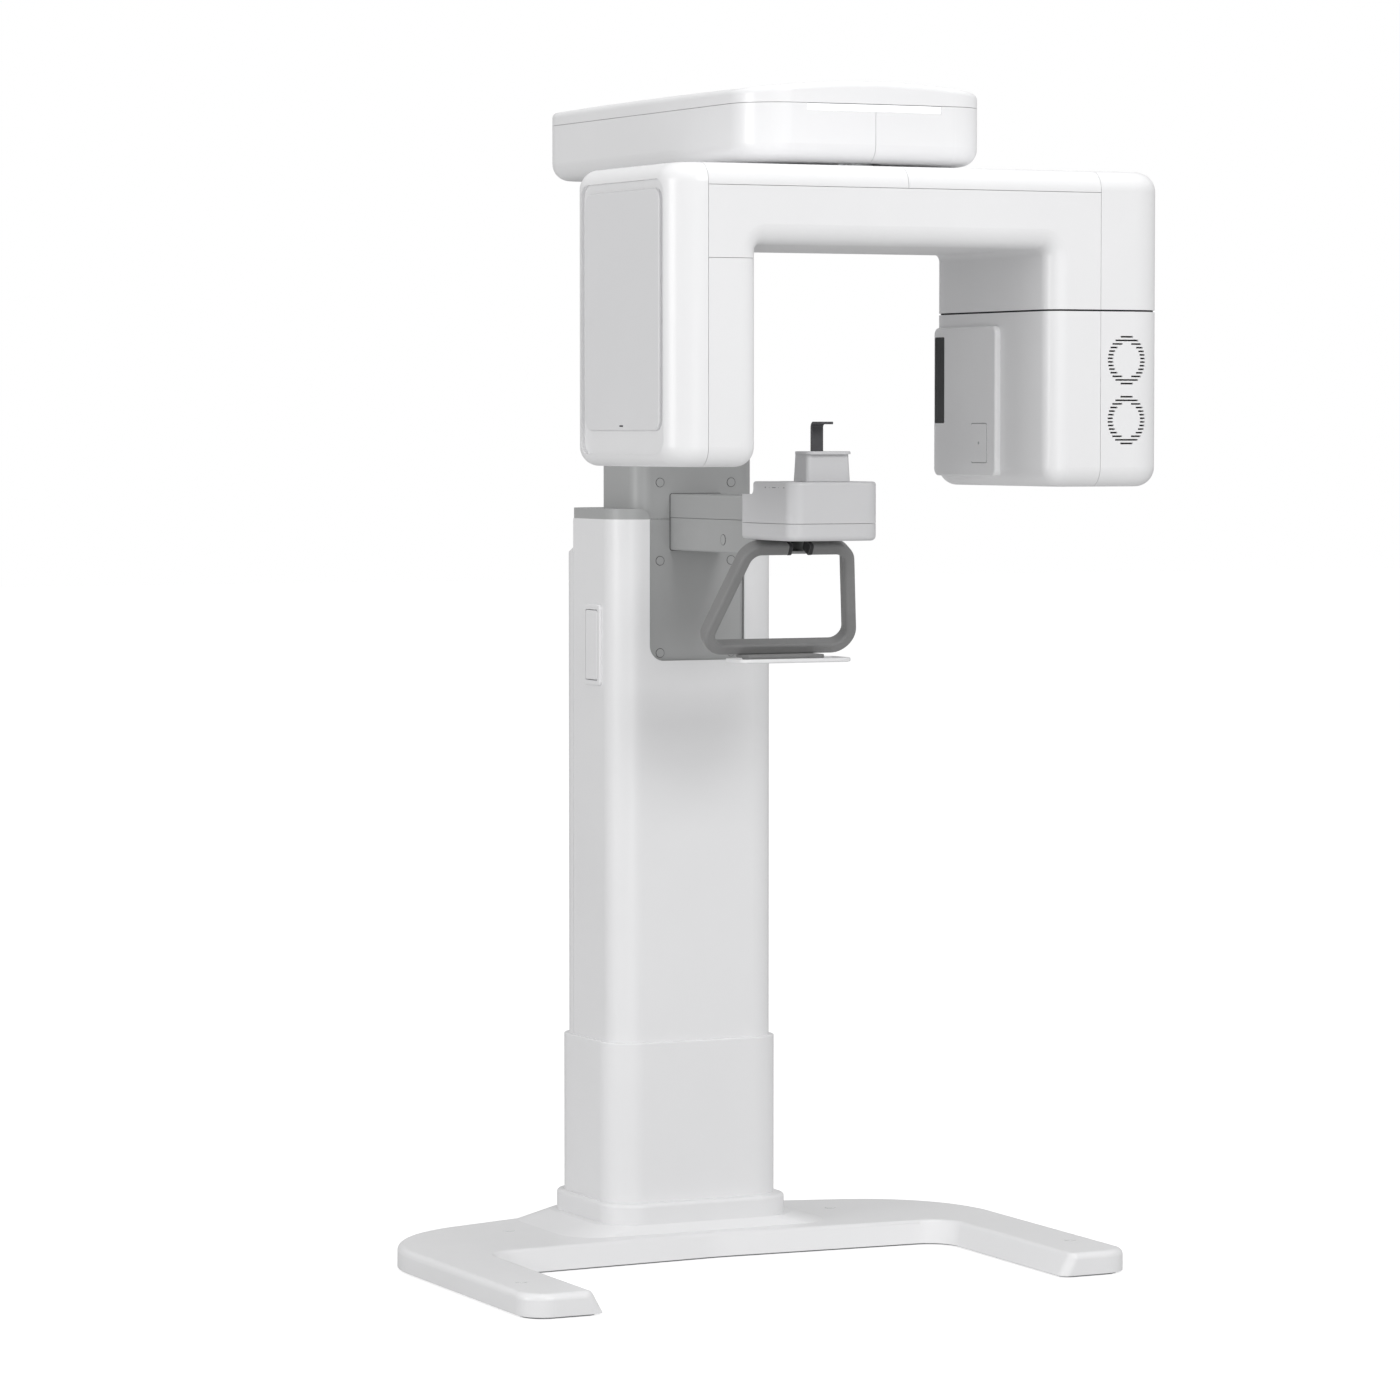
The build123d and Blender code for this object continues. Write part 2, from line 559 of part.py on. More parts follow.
with BuildPart() as chinrest_upper_housing:
    add(slab((-BOX_HALF, BOX_HALF), box_y, (BOX_SEAM + GAP, BOX_Z1), BOX_R))
    fillet(chinrest_upper_housing.faces().sort_by(Axis.Z)[-1].edges(), 4)
    with BuildSketch(Plane.YZ.offset(-BOX_HALF - 10)):
        with BuildLine():
            FilletPolyline((BOX_STEP_Y, BOX_Z1 + 20), (BOX_STEP_Y, BOX_STEP_Z), (CARM_FRONT + 20, BOX_STEP_Z),
                           radius=8)
            Polyline((CARM_FRONT + 20, BOX_STEP_Z), (CARM_FRONT + 20, BOX_Z1 + 20),
                     (BOX_STEP_Y, BOX_Z1 + 20))
        make_face()
    extrude(amount=2 * BOX_HALF + 20, mode=Mode.SUBTRACT)
    add(slab((-BOX_HALF + SKIN, BOX_HALF - SKIN), (BOX_FRONT + SKIN, CARM_FRONT - SKIN),
             (BOX_SEAM, BOX_STEP_Z - SKIN), BOX_R - SKIN), mode=Mode.SUBTRACT)
    add(slab((-BOX_HALF + SKIN, BOX_HALF - SKIN), (BOX_FRONT + SKIN, BOX_STEP_Y - SKIN),
             (BOX_SEAM, BOX_Z1 - SKIN), BOX_R - SKIN), mode=Mode.SUBTRACT)
    add(slab((-beam_half - 1, beam_half + 1), (CARM_FRONT - 10, CARM_FRONT + 10), grown(beam_z, 1)),
        mode=Mode.SUBTRACT)
    add(post(0, SUPPORT_Y, (beam_z[1] + 8, BOX_Z1 - 1), SOCKET_R))
    add(post(0, SUPPORT_Y, (beam_z[1] + 11, BOX_Z1), PEG_R + RUN_GAP), mode=Mode.SUBTRACT)
save(chinrest_upper_housing.part, "chinrest_upper_housing")

BITE_W, BITE_T, BITE_REACH = 17.5, 3.6, 30
BITE_Y, BITE_TOP = SUPPORT_Y + 15, SUPPORT_TOP + 40
bite_low = BOX_Z1 + 13
with BuildPart() as chin_support:
    with BuildSketch(Plane.XY.offset(BOX_Z1 + SLIDE_GAP)):
        with Locations((0, SUPPORT_Y)):
            RectangleRounded(*SUPPORT_FOOT, SUPPORT_R)
    with BuildSketch(Plane.XY.offset(SUPPORT_TOP - SUPPORT_PLATE_T)):
        with Locations((0, SUPPORT_Y)):
            RectangleRounded(*SUPPORT_NECK, SUPPORT_R)
    loft()
    with BuildSketch(Plane.XY.offset(SUPPORT_TOP - SUPPORT_PLATE_T)):
        with Locations((0, SUPPORT_Y - 3)):
            RectangleRounded(*SUPPORT_PLATE, 2 * SUPPORT_R)
    extrude(amount=SUPPORT_PLATE_T)
    fillet(chin_support.faces().sort_by(Axis.Z)[-1].edges(), 1.4)
    add(post(0, SUPPORT_Y, (beam_z[1] + 12, BOX_Z1 + SLIDE_GAP), PEG_R))
    slot = ((-BITE_W / 2 - SLIDE_GAP, BITE_W / 2 + SLIDE_GAP),
            grown((BITE_Y - BITE_T / 2, BITE_Y + BITE_T / 2), SLIDE_GAP),
            (bite_low - BITE_T / 2 - SLIDE_GAP, SUPPORT_TOP + 5))
    add(slab(*slot), mode=Mode.SUBTRACT)
save(chin_support.part, "chin_support")

with BuildPart() as bite_rod:
    with BuildSketch(Plane.YZ.offset(-BITE_W / 2)):
        with BuildLine():
            spine = FilletPolyline((BITE_Y, bite_low), (BITE_Y, BITE_TOP - BITE_T / 2),
                                   (BITE_Y - BITE_REACH, BITE_TOP - BITE_T / 2), radius=6)
            offset(spine, amount=BITE_T / 2, side=Side.BOTH)
        make_face()
    extrude(amount=BITE_W)
save(bite_rod.part, "bite_rod")

# ---- handles and tray ---------------------------------------------------------------------------
lean = Vector(0, HANDLE_LOW_Y - HANDLE_TOP_Y, -HANDLE_DROP).normalized()   # down the loop's plane
facing = Vector(1, 0, 0).cross(lean)                                         # square to the loop's plane
flat_w, flat_t = HANDLE_W / 2 - HANDLE_R, HANDLE_T / 2 - HANDLE_R
reach_z = abs(facing.Z) * flat_w + abs(lean.Z) * flat_t + HANDLE_R            # section's half height
handle_z = BOX_Z0 - reach_z
low_z = handle_z - HANDLE_DROP
with BuildPart() as handle_frame:
    with BuildLine() as loop:
        FilletPolyline(
            (-HANDLE_GAP / 2, HANDLE_TOP_Y, handle_z),
            (-HANDLE_TOP_X, HANDLE_TOP_Y, handle_z),
            (-HANDLE_LOW_X, HANDLE_LOW_Y, low_z),
            (HANDLE_LOW_X, HANDLE_LOW_Y, low_z),
            (HANDLE_TOP_X, HANDLE_TOP_Y, handle_z),
            (HANDLE_GAP / 2, HANDLE_TOP_Y, handle_z), radius=HANDLE_BEND)
    with BuildSketch(Plane(loop.line @ 0, x_dir=facing, z_dir=(-1, 0, 0))):
        RectangleRounded(HANDLE_W, HANDLE_T, HANDLE_R)
    sweep()
save(handle_frame.part, "handle_frame")

TRAY_T, PAD_T = 6, 4
pad_z = low_z - reach_z - PAD_T
with BuildPart() as tray:
    add(slab((-85, 85), (HANDLE_LOW_Y - 72, HANDLE_LOW_Y - 10), (pad_z - TRAY_T, pad_z), 12))
    fillet(tray.faces().sort_by(Axis.Z)[-1].edges(), 1.5)
    fillet(tray.faces().sort_by(Axis.Z)[0].edges(), 1.5)
    add(slab((-58, 58), (HANDLE_LOW_Y - 40, HANDLE_LOW_Y + 8), (pad_z - 1, pad_z + PAD_T), 6))
save(tray.part, "tray")


# ---- head ---------------------------------------------------------------------------------------
def head_plan(inset):
    """Plan of the head: bowed front, large front corners."""
    half = HEAD_HALF - inset
    front = HEAD_FRONT + inset
    with BuildSketch() as plan:
        with BuildLine():
            Polyline((-half, front + HEAD_BOW), (-half, HEAD_BACK - inset), (half, HEAD_BACK - inset),
                     (half, front + HEAD_BOW))
            ThreePointArc((half, front + HEAD_BOW), (0, front), (-half, front + HEAD_BOW))
        make_face()
        fillet(plan.vertices().group_by(Axis.Y)[0], HEAD_R_FRONT - inset)
        fillet(plan.vertices().group_by(Axis.Y)[-1], HEAD_R_BACK - inset)
    return plan.sketch


CROWN_OVER = 40         # the crown's arch reaches this far past the head on every side


def crown(inset):
    """The crowned space under the head's top: an arch across, swung along the length."""
    reach = HEAD_TOP - inset
    middle_y, half_l = (HEAD_FRONT + HEAD_BACK) / 2, (HEAD_BACK - HEAD_FRONT) / 2
    radius = (half_l**2 + HEAD_FALL**2) / (2 * HEAD_FALL)
    swing = Axis((0, middle_y, reach - radius), (1, 0, 0))
    turn = degrees(asin((half_l + CROWN_OVER) / radius))
    wide = HEAD_HALF + CROWN_OVER
    side_z = reach - HEAD_RISE * (wide / HEAD_HALF) ** 2
    with BuildPart() as dome:
        with BuildSketch(Plane.XZ.offset(-middle_y)) as arch:
            with BuildLine():
                ThreePointArc((-wide, side_z), (0, reach), (wide, side_z))
                Polyline((wide, side_z), (wide, HEAD_Z), (-wide, HEAD_Z), (-wide, side_z))
            make_face()
        revolve(arch.sketch.rotate(swing, -turn), axis=swing, revolution_arc=2 * turn)
    return dome.part


def head_lower(inset):
    """The head below its seam, solid, with the bottom edge rounded."""
    with BuildPart() as body:
        with BuildSketch(Plane.XY.offset(HEAD_Z + inset)):
            add(head_plan(inset))
        extrude(amount=HEAD_SEAM - HEAD_Z - inset)
        fillet(body.faces().sort_by(Axis.Z)[0].edges(), HEAD_EDGE_R - inset)
    return body.part


HUB_CLEAR = 3
hub_half = HUB_R + HUB_CLEAR
hub_opening = slab((-hub_half, hub_half), grown((AXIS_Y - hub_half, AXIS_Y + hub_half), ORBIT),
                   (HEAD_Z - 5, HEAD_Z + 20), hub_half - 1)
carriage_opening = slab(grown((-tube_half, tube_half), SLIDE_GAP), grown(tube_y, SLIDE_GAP),
                        (HEAD_Z - 5, HEAD_Z + 20), tube_r)
light_slot = slab((-LIGHT_HALF, LIGHT_HALF), (HEAD_FRONT - 5, HEAD_FRONT + 25),
                  (HEAD_SEAM - LIGHT_H, HEAD_SEAM))
head_shell = head_lower(0) - head_lower(HEAD_SKIN)
for name, halves in (("left", (-BIG, -GAP / 2)), ("right", (GAP / 2, BIG))):
    with BuildPart() as head_half:
        add(head_shell)
        for cut in (hub_opening, carriage_opening, light_slot):
            add(cut, mode=Mode.SUBTRACT)
        add(region(x=halves), mode=Mode.INTERSECT)
    save(head_half.part, f"head_shell_{name}")


def head_upper(inset):
    """The head above its seam, solid, under the crown."""
    with BuildPart() as body:
        with BuildSketch(Plane.XY.offset(HEAD_SEAM + GAP)):
            add(head_plan(inset))
        extrude(amount=HEAD_TOP - HEAD_SEAM)
        add(crown(inset), mode=Mode.INTERSECT)
        if not inset:
            fillet(body.faces().sort_by(Axis.Z)[-1].edges(), HEAD_LIP_R)
    return body.part


with BuildPart() as head_top_cover:
    add(head_upper(0))
    add(head_upper(HEAD_SKIN), mode=Mode.SUBTRACT)
save(head_top_cover.part, "head_top_cover")

with BuildPart() as head_light_bar:
    with BuildSketch(Plane.XY.offset(HEAD_SEAM - LIGHT_H + SLIDE_GAP)):
        add(head_plan(1.0))
        add(head_plan(1.0 + 2.6), mode=Mode.SUBTRACT)
    extrude(amount=LIGHT_H - 2 * SLIDE_GAP)
    add(region(x=(-LIGHT_HALF + SLIDE_GAP, LIGHT_HALF - SLIDE_GAP), y=(-BIG, AXIS_Y)), mode=Mode.INTERSECT)
save(head_light_bar.part, "head_light_bar")

plate_top = plate_z + HEAD_PLATE_T
with BuildPart() as head_plate:
    add(slab((-110, 110), (HEAD_FRONT + 14, HEAD_BACK - 12), (plate_z, plate_top), 12))
    add(slab((-46, 46), (AXIS_Y - 40, AXIS_Y + 175), (plate_z, plate_top), 8), mode=Mode.SUBTRACT)
    for x in (-70, 70):
        add(slab((x - 6, x + 6), (AXIS_Y - 50, AXIS_Y + 190), (plate_z - 10, plate_z)))
save(head_plate.part, "head_plate")

stage_z = (plate_z - 25, plate_z - 15)
with BuildPart() as orbit_actuator:
    add(slab((-20, 20), (AXIS_Y + 200, AXIS_Y + 245), (plate_z - 40, plate_z), 3))
    add(along_y(0, stage_z[1], (AXIS_Y + 190, AXIS_Y + 250), 5 + RUN_GAP), mode=Mode.SUBTRACT)
save(orbit_actuator.part, "orbit_actuator")

# ---- orbit stage --------------------------------------------------------------------------------
motor_y = AXIS_Y + PULLEY_DIST
belt_z = (HEAD_Z + 13, HEAD_Z + 21)
with BuildPart() as stage_plate:
    add(slab((-88, 88), (AXIS_Y - 44, motor_y + 42), stage_z, 10))
    for x in (-70, 70):
        for y in (AXIS_Y - 20, motor_y):
            add(slab((x - 15, x + 15), (y - 22, y + 22), (stage_z[1], plate_z - 2)))
            add(slab(grown((x - 6, x + 6), SLIDE_GAP), (y - 22, y + 22),
                     (plate_z - 10 - SLIDE_GAP, plate_z)), mode=Mode.SUBTRACT)
    add(post(0, AXIS_Y, stage_z, HUB_R + 2), mode=Mode.SUBTRACT)
    add(post(0, motor_y, stage_z, 6), mode=Mode.SUBTRACT)
    add(along_y(0, stage_z[1], (motor_y + 36, motor_y + 172), 5))
save(stage_plate.part, "stage_plate")

with BuildPart() as rotation_bearing:
    add(post(0, AXIS_Y, (stage_z[0] - 18, stage_z[0]), HUB_R + 14))
    add(post(0, AXIS_Y, (stage_z[0] - 18, stage_z[0]), HUB_R + RUN_GAP), mode=Mode.SUBTRACT)
save(rotation_bearing.part, "rotation_bearing")

with BuildPart() as rotation_motor:
    add(slab((-28, 28), (motor_y - 28, motor_y + 28), (stage_z[1], stage_z[1] + 46), 5))
    add(post(0, motor_y, (stage_z[1], stage_z[1] + 40), 4 + RUN_GAP), mode=Mode.SUBTRACT)
save(rotation_motor.part, "rotation_motor")


def belt_hull(extra):
    """The outline round both pulleys, extra outside their rims."""
    with BuildSketch() as outline:
        with BuildSketch() as discs:
            with Locations((0, AXIS_Y)):
                Circle(PULLEY_BIG + extra)
            with Locations((0, motor_y)):
                Circle(PULLEY_SMALL + extra)
        make_hull(discs.sketch.edges())
    return outline.sketch


with BuildPart() as drive_belt:
    with BuildSketch(Plane.XY.offset(belt_z[0])):
        add(belt_hull(SLIDE_GAP + BELT_T))
        add(belt_hull(SLIDE_GAP), mode=Mode.SUBTRACT)
    extrude(amount=belt_z[1] - belt_z[0])
save(drive_belt.part, "drive_belt")

with BuildPart() as motor_pulley:
    add(post(0, motor_y, grown(belt_z, 1), PULLEY_SMALL))
    add(post(0, motor_y, (belt_z[1], stage_z[1] + 30), 4))
save(motor_pulley.part, "motor_pulley")


# ---- rotating arm covers ------------------------------------------------------------------------
def arm_body(inset):
    """The whole rotating arm as one solid: a beam with a housing hanging at each end."""
    x0, x1 = ARM_X0 + inset, ARM_X1 - inset
    y0, y1 = ARM_Y0 + inset, ARM_Y1 - inset
    top, under = ARM_TOP - inset, ARM_UNDER + inset
    soft = max(ARM_SOFT_R - inset, 2)
    with BuildPart() as body:
        with BuildSketch(Plane.XZ.offset(-y1)):
            with BuildLine():
                Polyline((x0, top), (x1, top), (x1, GEN_Z + inset), (GEN_X + inset, GEN_Z + inset),
                         (GEN_X + inset, under), (DET_X - inset, under), (DET_X - inset, DET_Z + inset),
                         (x0, DET_Z + inset), close=True)
            make_face()
        extrude(amount=y1 - y0)
        inner = body.edges().filter_by(Axis.Y).group_by(Axis.Z)[-2]
        fillet(inner.sort_by(Axis.X)[0], ARCH_R + inset)
        fillet(body.edges().filter_by(Axis.Y).filter_by_position(Axis.X, GEN_X - 1, GEN_X + SKIN + 1)
               .sort_by(Axis.Z)[-1], ARCH_R + inset)
        upright = body.edges().filter_by(Axis.Z)
        fillet(upright.group_by(Axis.X)[0] + upright.group_by(Axis.X)[-1], ARM_CORNER_R - inset)
        fillet(body.faces().sort_by(Axis.Z)[-1].edges(), ARM_TOP_R - inset)
        low = [e for f in body.faces().filter_by(Axis.Z).sort_by(Axis.Z)[:2] for e in f.edges()]
        arch = [e for e in body.edges()
                if DET_X - 2 * SKIN < e.center().X < GEN_X + 60 and e.center().Z < under + 2
                and (abs(e.center().Y - y0) < 0.5 or abs(e.center().Y - y1) < 0.5)]
        fillet(low + [e for e in arch if all(not e.is_same(f) for f in low)], soft)
    return body.part


arm_solid = arm_body(0)
arm_shell = arm_solid - arm_body(SKIN)


def arm_piece(x=(-BIG, BIG), y=(-BIG, BIG), z=(-BIG, BIG)):
    """The part of the arm's shell inside these limits."""
    return arm_shell & region(x, y, z)


hub_hole = post(0, AXIS_Y, (ARM_TOP - 20, ARM_TOP + 5), HUB_R + 3)
top_seams = {"left": (ARM_SEAM_L + GAP, -GAP / 2), "right": (GAP / 2, ARM_SEAM_R - GAP)}
for name, span in top_seams.items():
    with BuildPart() as top_cover:
        add(arm_piece(x=span, z=(ARM_SEAM_TOP, BIG)))
        add(hub_hole, mode=Mode.SUBTRACT)
    save(top_cover.part, f"arm_top_cover_{name}")

gen_seam = (GEN_SEAM_Z - GEN_SEAM_GAP / 2, GEN_SEAM_Z + GEN_SEAM_GAP / 2)
gen_side = GEN_X - 60                    # everything beyond this X belongs to the generator housing
det_side = DET_X + 40                    # everything before this X belongs to the detector housing

with BuildPart() as arm_beam_cover:
    add(arm_piece(x=(ARM_SEAM_L + GAP, ARM_SEAM_R - GAP), z=(gen_seam[1], ARM_SEAM_TOP - GAP)))
    add(region(x=(-BIG, det_side), z=(-BIG, DET_SEAM_Z)), mode=Mode.SUBTRACT)
save(arm_beam_cover.part, "arm_beam_cover")

with BuildPart() as detector_cover:
    add(arm_piece(x=(ARM_SEAM_L + GAP, det_side), z=(-BIG, DET_SEAM_Z - GAP)))
    raised = side_slab((DET_X - 3, DET_X + 12), (AXIS_Y - 77, AXIS_Y + 83), (DET_Z + 19, DET_Z + 164), 12)
    add(raised.fillet(4, raised.faces().sort_by(Axis.X)[-1].edges()))
save(detector_cover.part, "detector_cover")

POCKET_DEPTH, POCKET_R, BACKING = 6, 20, 3
pocket_y, pocket_z = (ARM_Y0 + 36, ARM_Y1 - 41), (DET_Z + 16, ARM_TOP - 21)
panel_y, panel_z = grown(pocket_y, -12), (DET_Z + 47, ARM_TOP - 33)

with BuildPart() as detector_end_cover:
    add(arm_piece(x=(-BIG, ARM_SEAM_L)))
    pocket_wall = side_slab((ARM_X0, ARM_X0 + POCKET_DEPTH + BACKING), grown(pocket_y, BACKING),
                            grown(pocket_z, BACKING), POCKET_R + BACKING)
    add(pocket_wall & arm_solid)
    add(side_slab((ARM_X0 - 5, ARM_X0 + POCKET_DEPTH), pocket_y, pocket_z, POCKET_R), mode=Mode.SUBTRACT)
save(detector_end_cover.part, "detector_end_cover")

with BuildPart() as detector_end_panel:
    add(side_slab((ARM_X0 + 1, ARM_X0 + POCKET_DEPTH), panel_y, panel_z, 16))
    fillet(detector_end_panel.faces().sort_by(Axis.X)[0].edges(), 2)
save(detector_end_panel.part, "detector_end_panel")

with BuildPart() as generator_end_upper:
    add(arm_piece(x=(ARM_SEAM_R, BIG), z=(gen_seam[1], BIG)))
save(generator_end_upper.part, "generator_end_upper")

with BuildPart() as generator_cover:
    add(arm_piece(x=(gen_side, ARM_SEAM_R - GAP), z=(-BIG, gen_seam[0])))
save(generator_cover.part, "generator_cover")

FAN_X, FAN_Z = ARM_X1 - 64, (GEN_Z + 89, GEN_Z + 169)
VENT_ROWS, VENT_PITCH, VENT_SLOT = 14, 4.8, 2.2
VENT_RIM, VENT_EYE = (29.3, 33.0), (20.9, 22.8)     # half width and half height of the ring of slots


def oval_half(oval, height):
    """Half the width of an oval at a height above its middle, zero outside it."""
    return oval[0] * max(1 - (height / oval[1]) ** 2, 0) ** 0.5


with BuildPart() as generator_end_cover:
    add(arm_piece(x=(ARM_SEAM_R, BIG), z=(-BIG, gen_seam[0])))
    with BuildSketch(Plane.XZ.offset(-ARM_Y0 - 12)):
        for z in FAN_Z:
            for row in range(VENT_ROWS):
                offset_z = (row - (VENT_ROWS - 1) / 2) * VENT_PITCH
                outer, inner = oval_half(VENT_RIM, offset_z), oval_half(VENT_EYE, offset_z)
                for side in (-1, 1):
                    with Locations((FAN_X + side * (outer + inner) / 2, z + offset_z)):
                        Rectangle(outer - inner, VENT_SLOT)
    extrude(amount=20, mode=Mode.SUBTRACT)
save(generator_end_cover.part, "generator_end_cover")

PANEL_PROUD = 8
PANEL_LET_IN = 2.4                       # depth of the shallow pockets in the inner panel
panel_x = GEN_X - PANEL_PROUD
window_y, window_z = (ARM_Y1 - 50, ARM_Y1 - 23), (GEN_Z + 85, GEN_SEAM_Z - 32)
door_y, door_z = (ARM_Y1 - 172, ARM_Y1 - 128), (GEN_Z + 31, GEN_Z + 85)

with BuildPart() as generator_inner_panel:
    add(side_slab((panel_x, GEN_X + PANEL_PROUD), (ARM_Y1 - 195, ARM_Y1 - 19),
                  (GEN_Z + 13, GEN_SEAM_Z - 19), 10))
    fillet(generator_inner_panel.faces().sort_by(Axis.X)[0].edges(), 3)
    add(arm_solid, mode=Mode.SUBTRACT)
    for limits_y, limits_z, corner in ((window_y, window_z, 2), (door_y, door_z, 3)):
        pocket = side_slab((panel_x - 1, panel_x + PANEL_LET_IN), limits_y, limits_z, corner)
        add(pocket, mode=Mode.SUBTRACT)
save(generator_inner_panel.part, "generator_inner_panel")

with BuildPart() as exit_window:
    add(side_slab((panel_x + 0.4, panel_x + PANEL_LET_IN), grown(window_y, -0.4), grown(window_z, -0.4), 2))
save(exit_window.part, "exit_window")

DOOR_GAP = 0.8
with BuildPart() as service_door:
    add(side_slab((panel_x - 0.6, panel_x + PANEL_LET_IN), grown(door_y, -DOOR_GAP),
                  grown(door_z, -DOOR_GAP), 3))
    with Locations(Plane((panel_x - 0.6, sum(door_y) / 2, sum(door_z) / 2), z_dir=(1, 0, 0))):
        Cylinder(1.6, 2, mode=Mode.SUBTRACT)
save(service_door.part, "service_door")

# ---- inside the rotating arm --------------------------------------------------------------------
beam_y, beam_top = (AXIS_Y - 27, AXIS_Y + 28), (ARM_UNDER + 25, ARM_TOP - 24)
beam_x = (ARM_X0 + 25, ARM_X1 - 28)
sensor_x = (DET_X - 43, DET_X - 9)
with BuildPart() as arm_frame:
    add(slab(beam_x, beam_y, beam_top))
    add(slab(beam_x, grown(beam_y, -3), grown(beam_top, -3)), mode=Mode.SUBTRACT)
    add(slab((sensor_x[0] - 12, sensor_x[0]), (AXIS_Y - 67, AXIS_Y + 63), (DET_Z + 18, beam_top[0])))
    for x in (GEN_X + 45, ARM_X1 - 54):
        add(slab((x - 10, x + 10), (AXIS_Y - 25, AXIS_Y + 73), (GEN_SEAM_Z - 14, beam_top[0])))
save(arm_frame.part, "arm_frame")

with BuildPart() as rotor_hub:
    add(post(0, AXIS_Y, (beam_top[1], beam_top[1] + 8), 50))
    add(post(0, AXIS_Y, (beam_top[1] + 8, stage_z[1] + 7), HUB_R))
    add(post(0, AXIS_Y, grown(belt_z, 1), PULLEY_BIG))
    add(post(0, AXIS_Y, (beam_top[1], stage_z[1] + 7), 16), mode=Mode.SUBTRACT)
save(rotor_hub.part, "rotor_hub")

with BuildPart() as image_sensor:
    add(slab(sensor_x, (AXIS_Y - 79, AXIS_Y + 75), (DET_Z + 13, DET_Z + 165), 4))
save(image_sensor.part, "image_sensor")

snout_x = GEN_X + SKIN + 4               # front of the collimator behind the exit window
with BuildPart() as tube_head:
    add(slab((GEN_X + 12, ARM_X1 - 29), (AXIS_Y - 25, ARM_Y1 - 15), (GEN_Z + 41, GEN_SEAM_Z - 14), 30))
    add(slab((snout_x, GEN_X + 42), grown(window_y, 4), grown(window_z, 4), 3))
    add(slab((snout_x - 1, GEN_X + 26), grown(window_y, -5), grown(window_z, -6)), mode=Mode.SUBTRACT)
save(tube_head.part, "tube_head")

# cooling fans behind the vents
FAN_HALF, FAN_HOLE_R, FAN_PIN_R, FAN_BLADES = 28, 26, 2.5, 7
fan_y = (ARM_Y0 + SKIN + 4.5, ARM_Y0 + SKIN + 22.5)


with BuildPart() as fan_frames:
    for z in FAN_Z:
        add(slab((FAN_X - FAN_HALF, FAN_X + FAN_HALF), fan_y, (z - FAN_HALF, z + FAN_HALF)))
        add(along_y(FAN_X, z, (fan_y[0], fan_y[1] - 2), FAN_HOLE_R), mode=Mode.SUBTRACT)
        with BuildSketch(Plane.XZ.offset(-fan_y[1])):
            with Locations((FAN_X, z)):
                Circle(FAN_HOLE_R - 2)
                Circle(12, mode=Mode.SUBTRACT)
                Rectangle(6, 2 * FAN_HOLE_R, mode=Mode.SUBTRACT)
        extrude(amount=2, mode=Mode.SUBTRACT)
        add(along_y(FAN_X, z, (fan_y[0] + 2, fan_y[1]), FAN_PIN_R))
save(fan_frames.part, "fan_frames")

fan_mid = (fan_y[0] + fan_y[1]) / 2 - 1
for name, z in (("lower", FAN_Z[0]), ("upper", FAN_Z[1])):
    with BuildPart() as fan:
        add(along_y(FAN_X, z, (fan_y[0] + 2, fan_y[1] - 2.5), 11))
        for turn in range(FAN_BLADES):
            with BuildPart(mode=Mode.PRIVATE) as blade:
                with BuildSketch(Plane.XZ.offset(-fan_mid - 5)):
                    with Locations((16, -4)):
                        Rectangle(16, 1.6)
                with BuildSketch(Plane.XZ.offset(-fan_mid + 5)):
                    with Locations((16, 4)):
                        Rectangle(16, 1.6)
                loft()
            turned = blade.part.rotate(Axis.Y, turn * 360 / FAN_BLADES)
            add(turned.moved(Location((FAN_X, 0, z))))
        add(along_y(FAN_X, z, fan_y, FAN_PIN_R + RUN_GAP), mode=Mode.SUBTRACT)
    save(fan.part, f"fan_{name}")
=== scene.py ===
import bpy
import bmesh
import json
import math
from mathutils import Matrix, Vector


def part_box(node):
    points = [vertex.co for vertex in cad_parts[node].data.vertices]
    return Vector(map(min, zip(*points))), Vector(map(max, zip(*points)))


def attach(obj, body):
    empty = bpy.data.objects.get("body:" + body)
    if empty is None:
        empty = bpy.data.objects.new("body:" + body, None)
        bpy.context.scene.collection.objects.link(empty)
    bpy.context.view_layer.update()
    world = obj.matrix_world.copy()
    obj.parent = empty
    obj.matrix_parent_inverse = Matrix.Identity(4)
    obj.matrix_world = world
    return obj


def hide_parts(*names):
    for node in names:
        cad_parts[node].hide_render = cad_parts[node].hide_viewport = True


# Looks of the panoramic x-ray machine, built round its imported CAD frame. Metres, +Z up.

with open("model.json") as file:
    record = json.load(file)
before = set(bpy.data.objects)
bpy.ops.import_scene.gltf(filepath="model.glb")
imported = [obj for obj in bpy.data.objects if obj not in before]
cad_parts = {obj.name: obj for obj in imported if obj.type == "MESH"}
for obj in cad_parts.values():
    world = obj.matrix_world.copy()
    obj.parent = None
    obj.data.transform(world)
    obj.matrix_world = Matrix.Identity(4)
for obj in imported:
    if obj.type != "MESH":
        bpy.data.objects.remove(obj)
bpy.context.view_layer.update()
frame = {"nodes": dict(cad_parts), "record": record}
nodes = frame["nodes"]
scene = bpy.context.scene
MM = 0.001


# ---- materials ----------------------------------------------------------------------------------
def new_material(name):
    """An empty node material with its Principled shader and object coordinates."""
    material = bpy.data.materials.new(name)
    material.use_nodes = True
    tree = material.node_tree
    shader = tree.nodes["Principled BSDF"]
    place = tree.nodes.new("ShaderNodeTexCoord")
    return material, tree, shader, place.outputs["Object"]


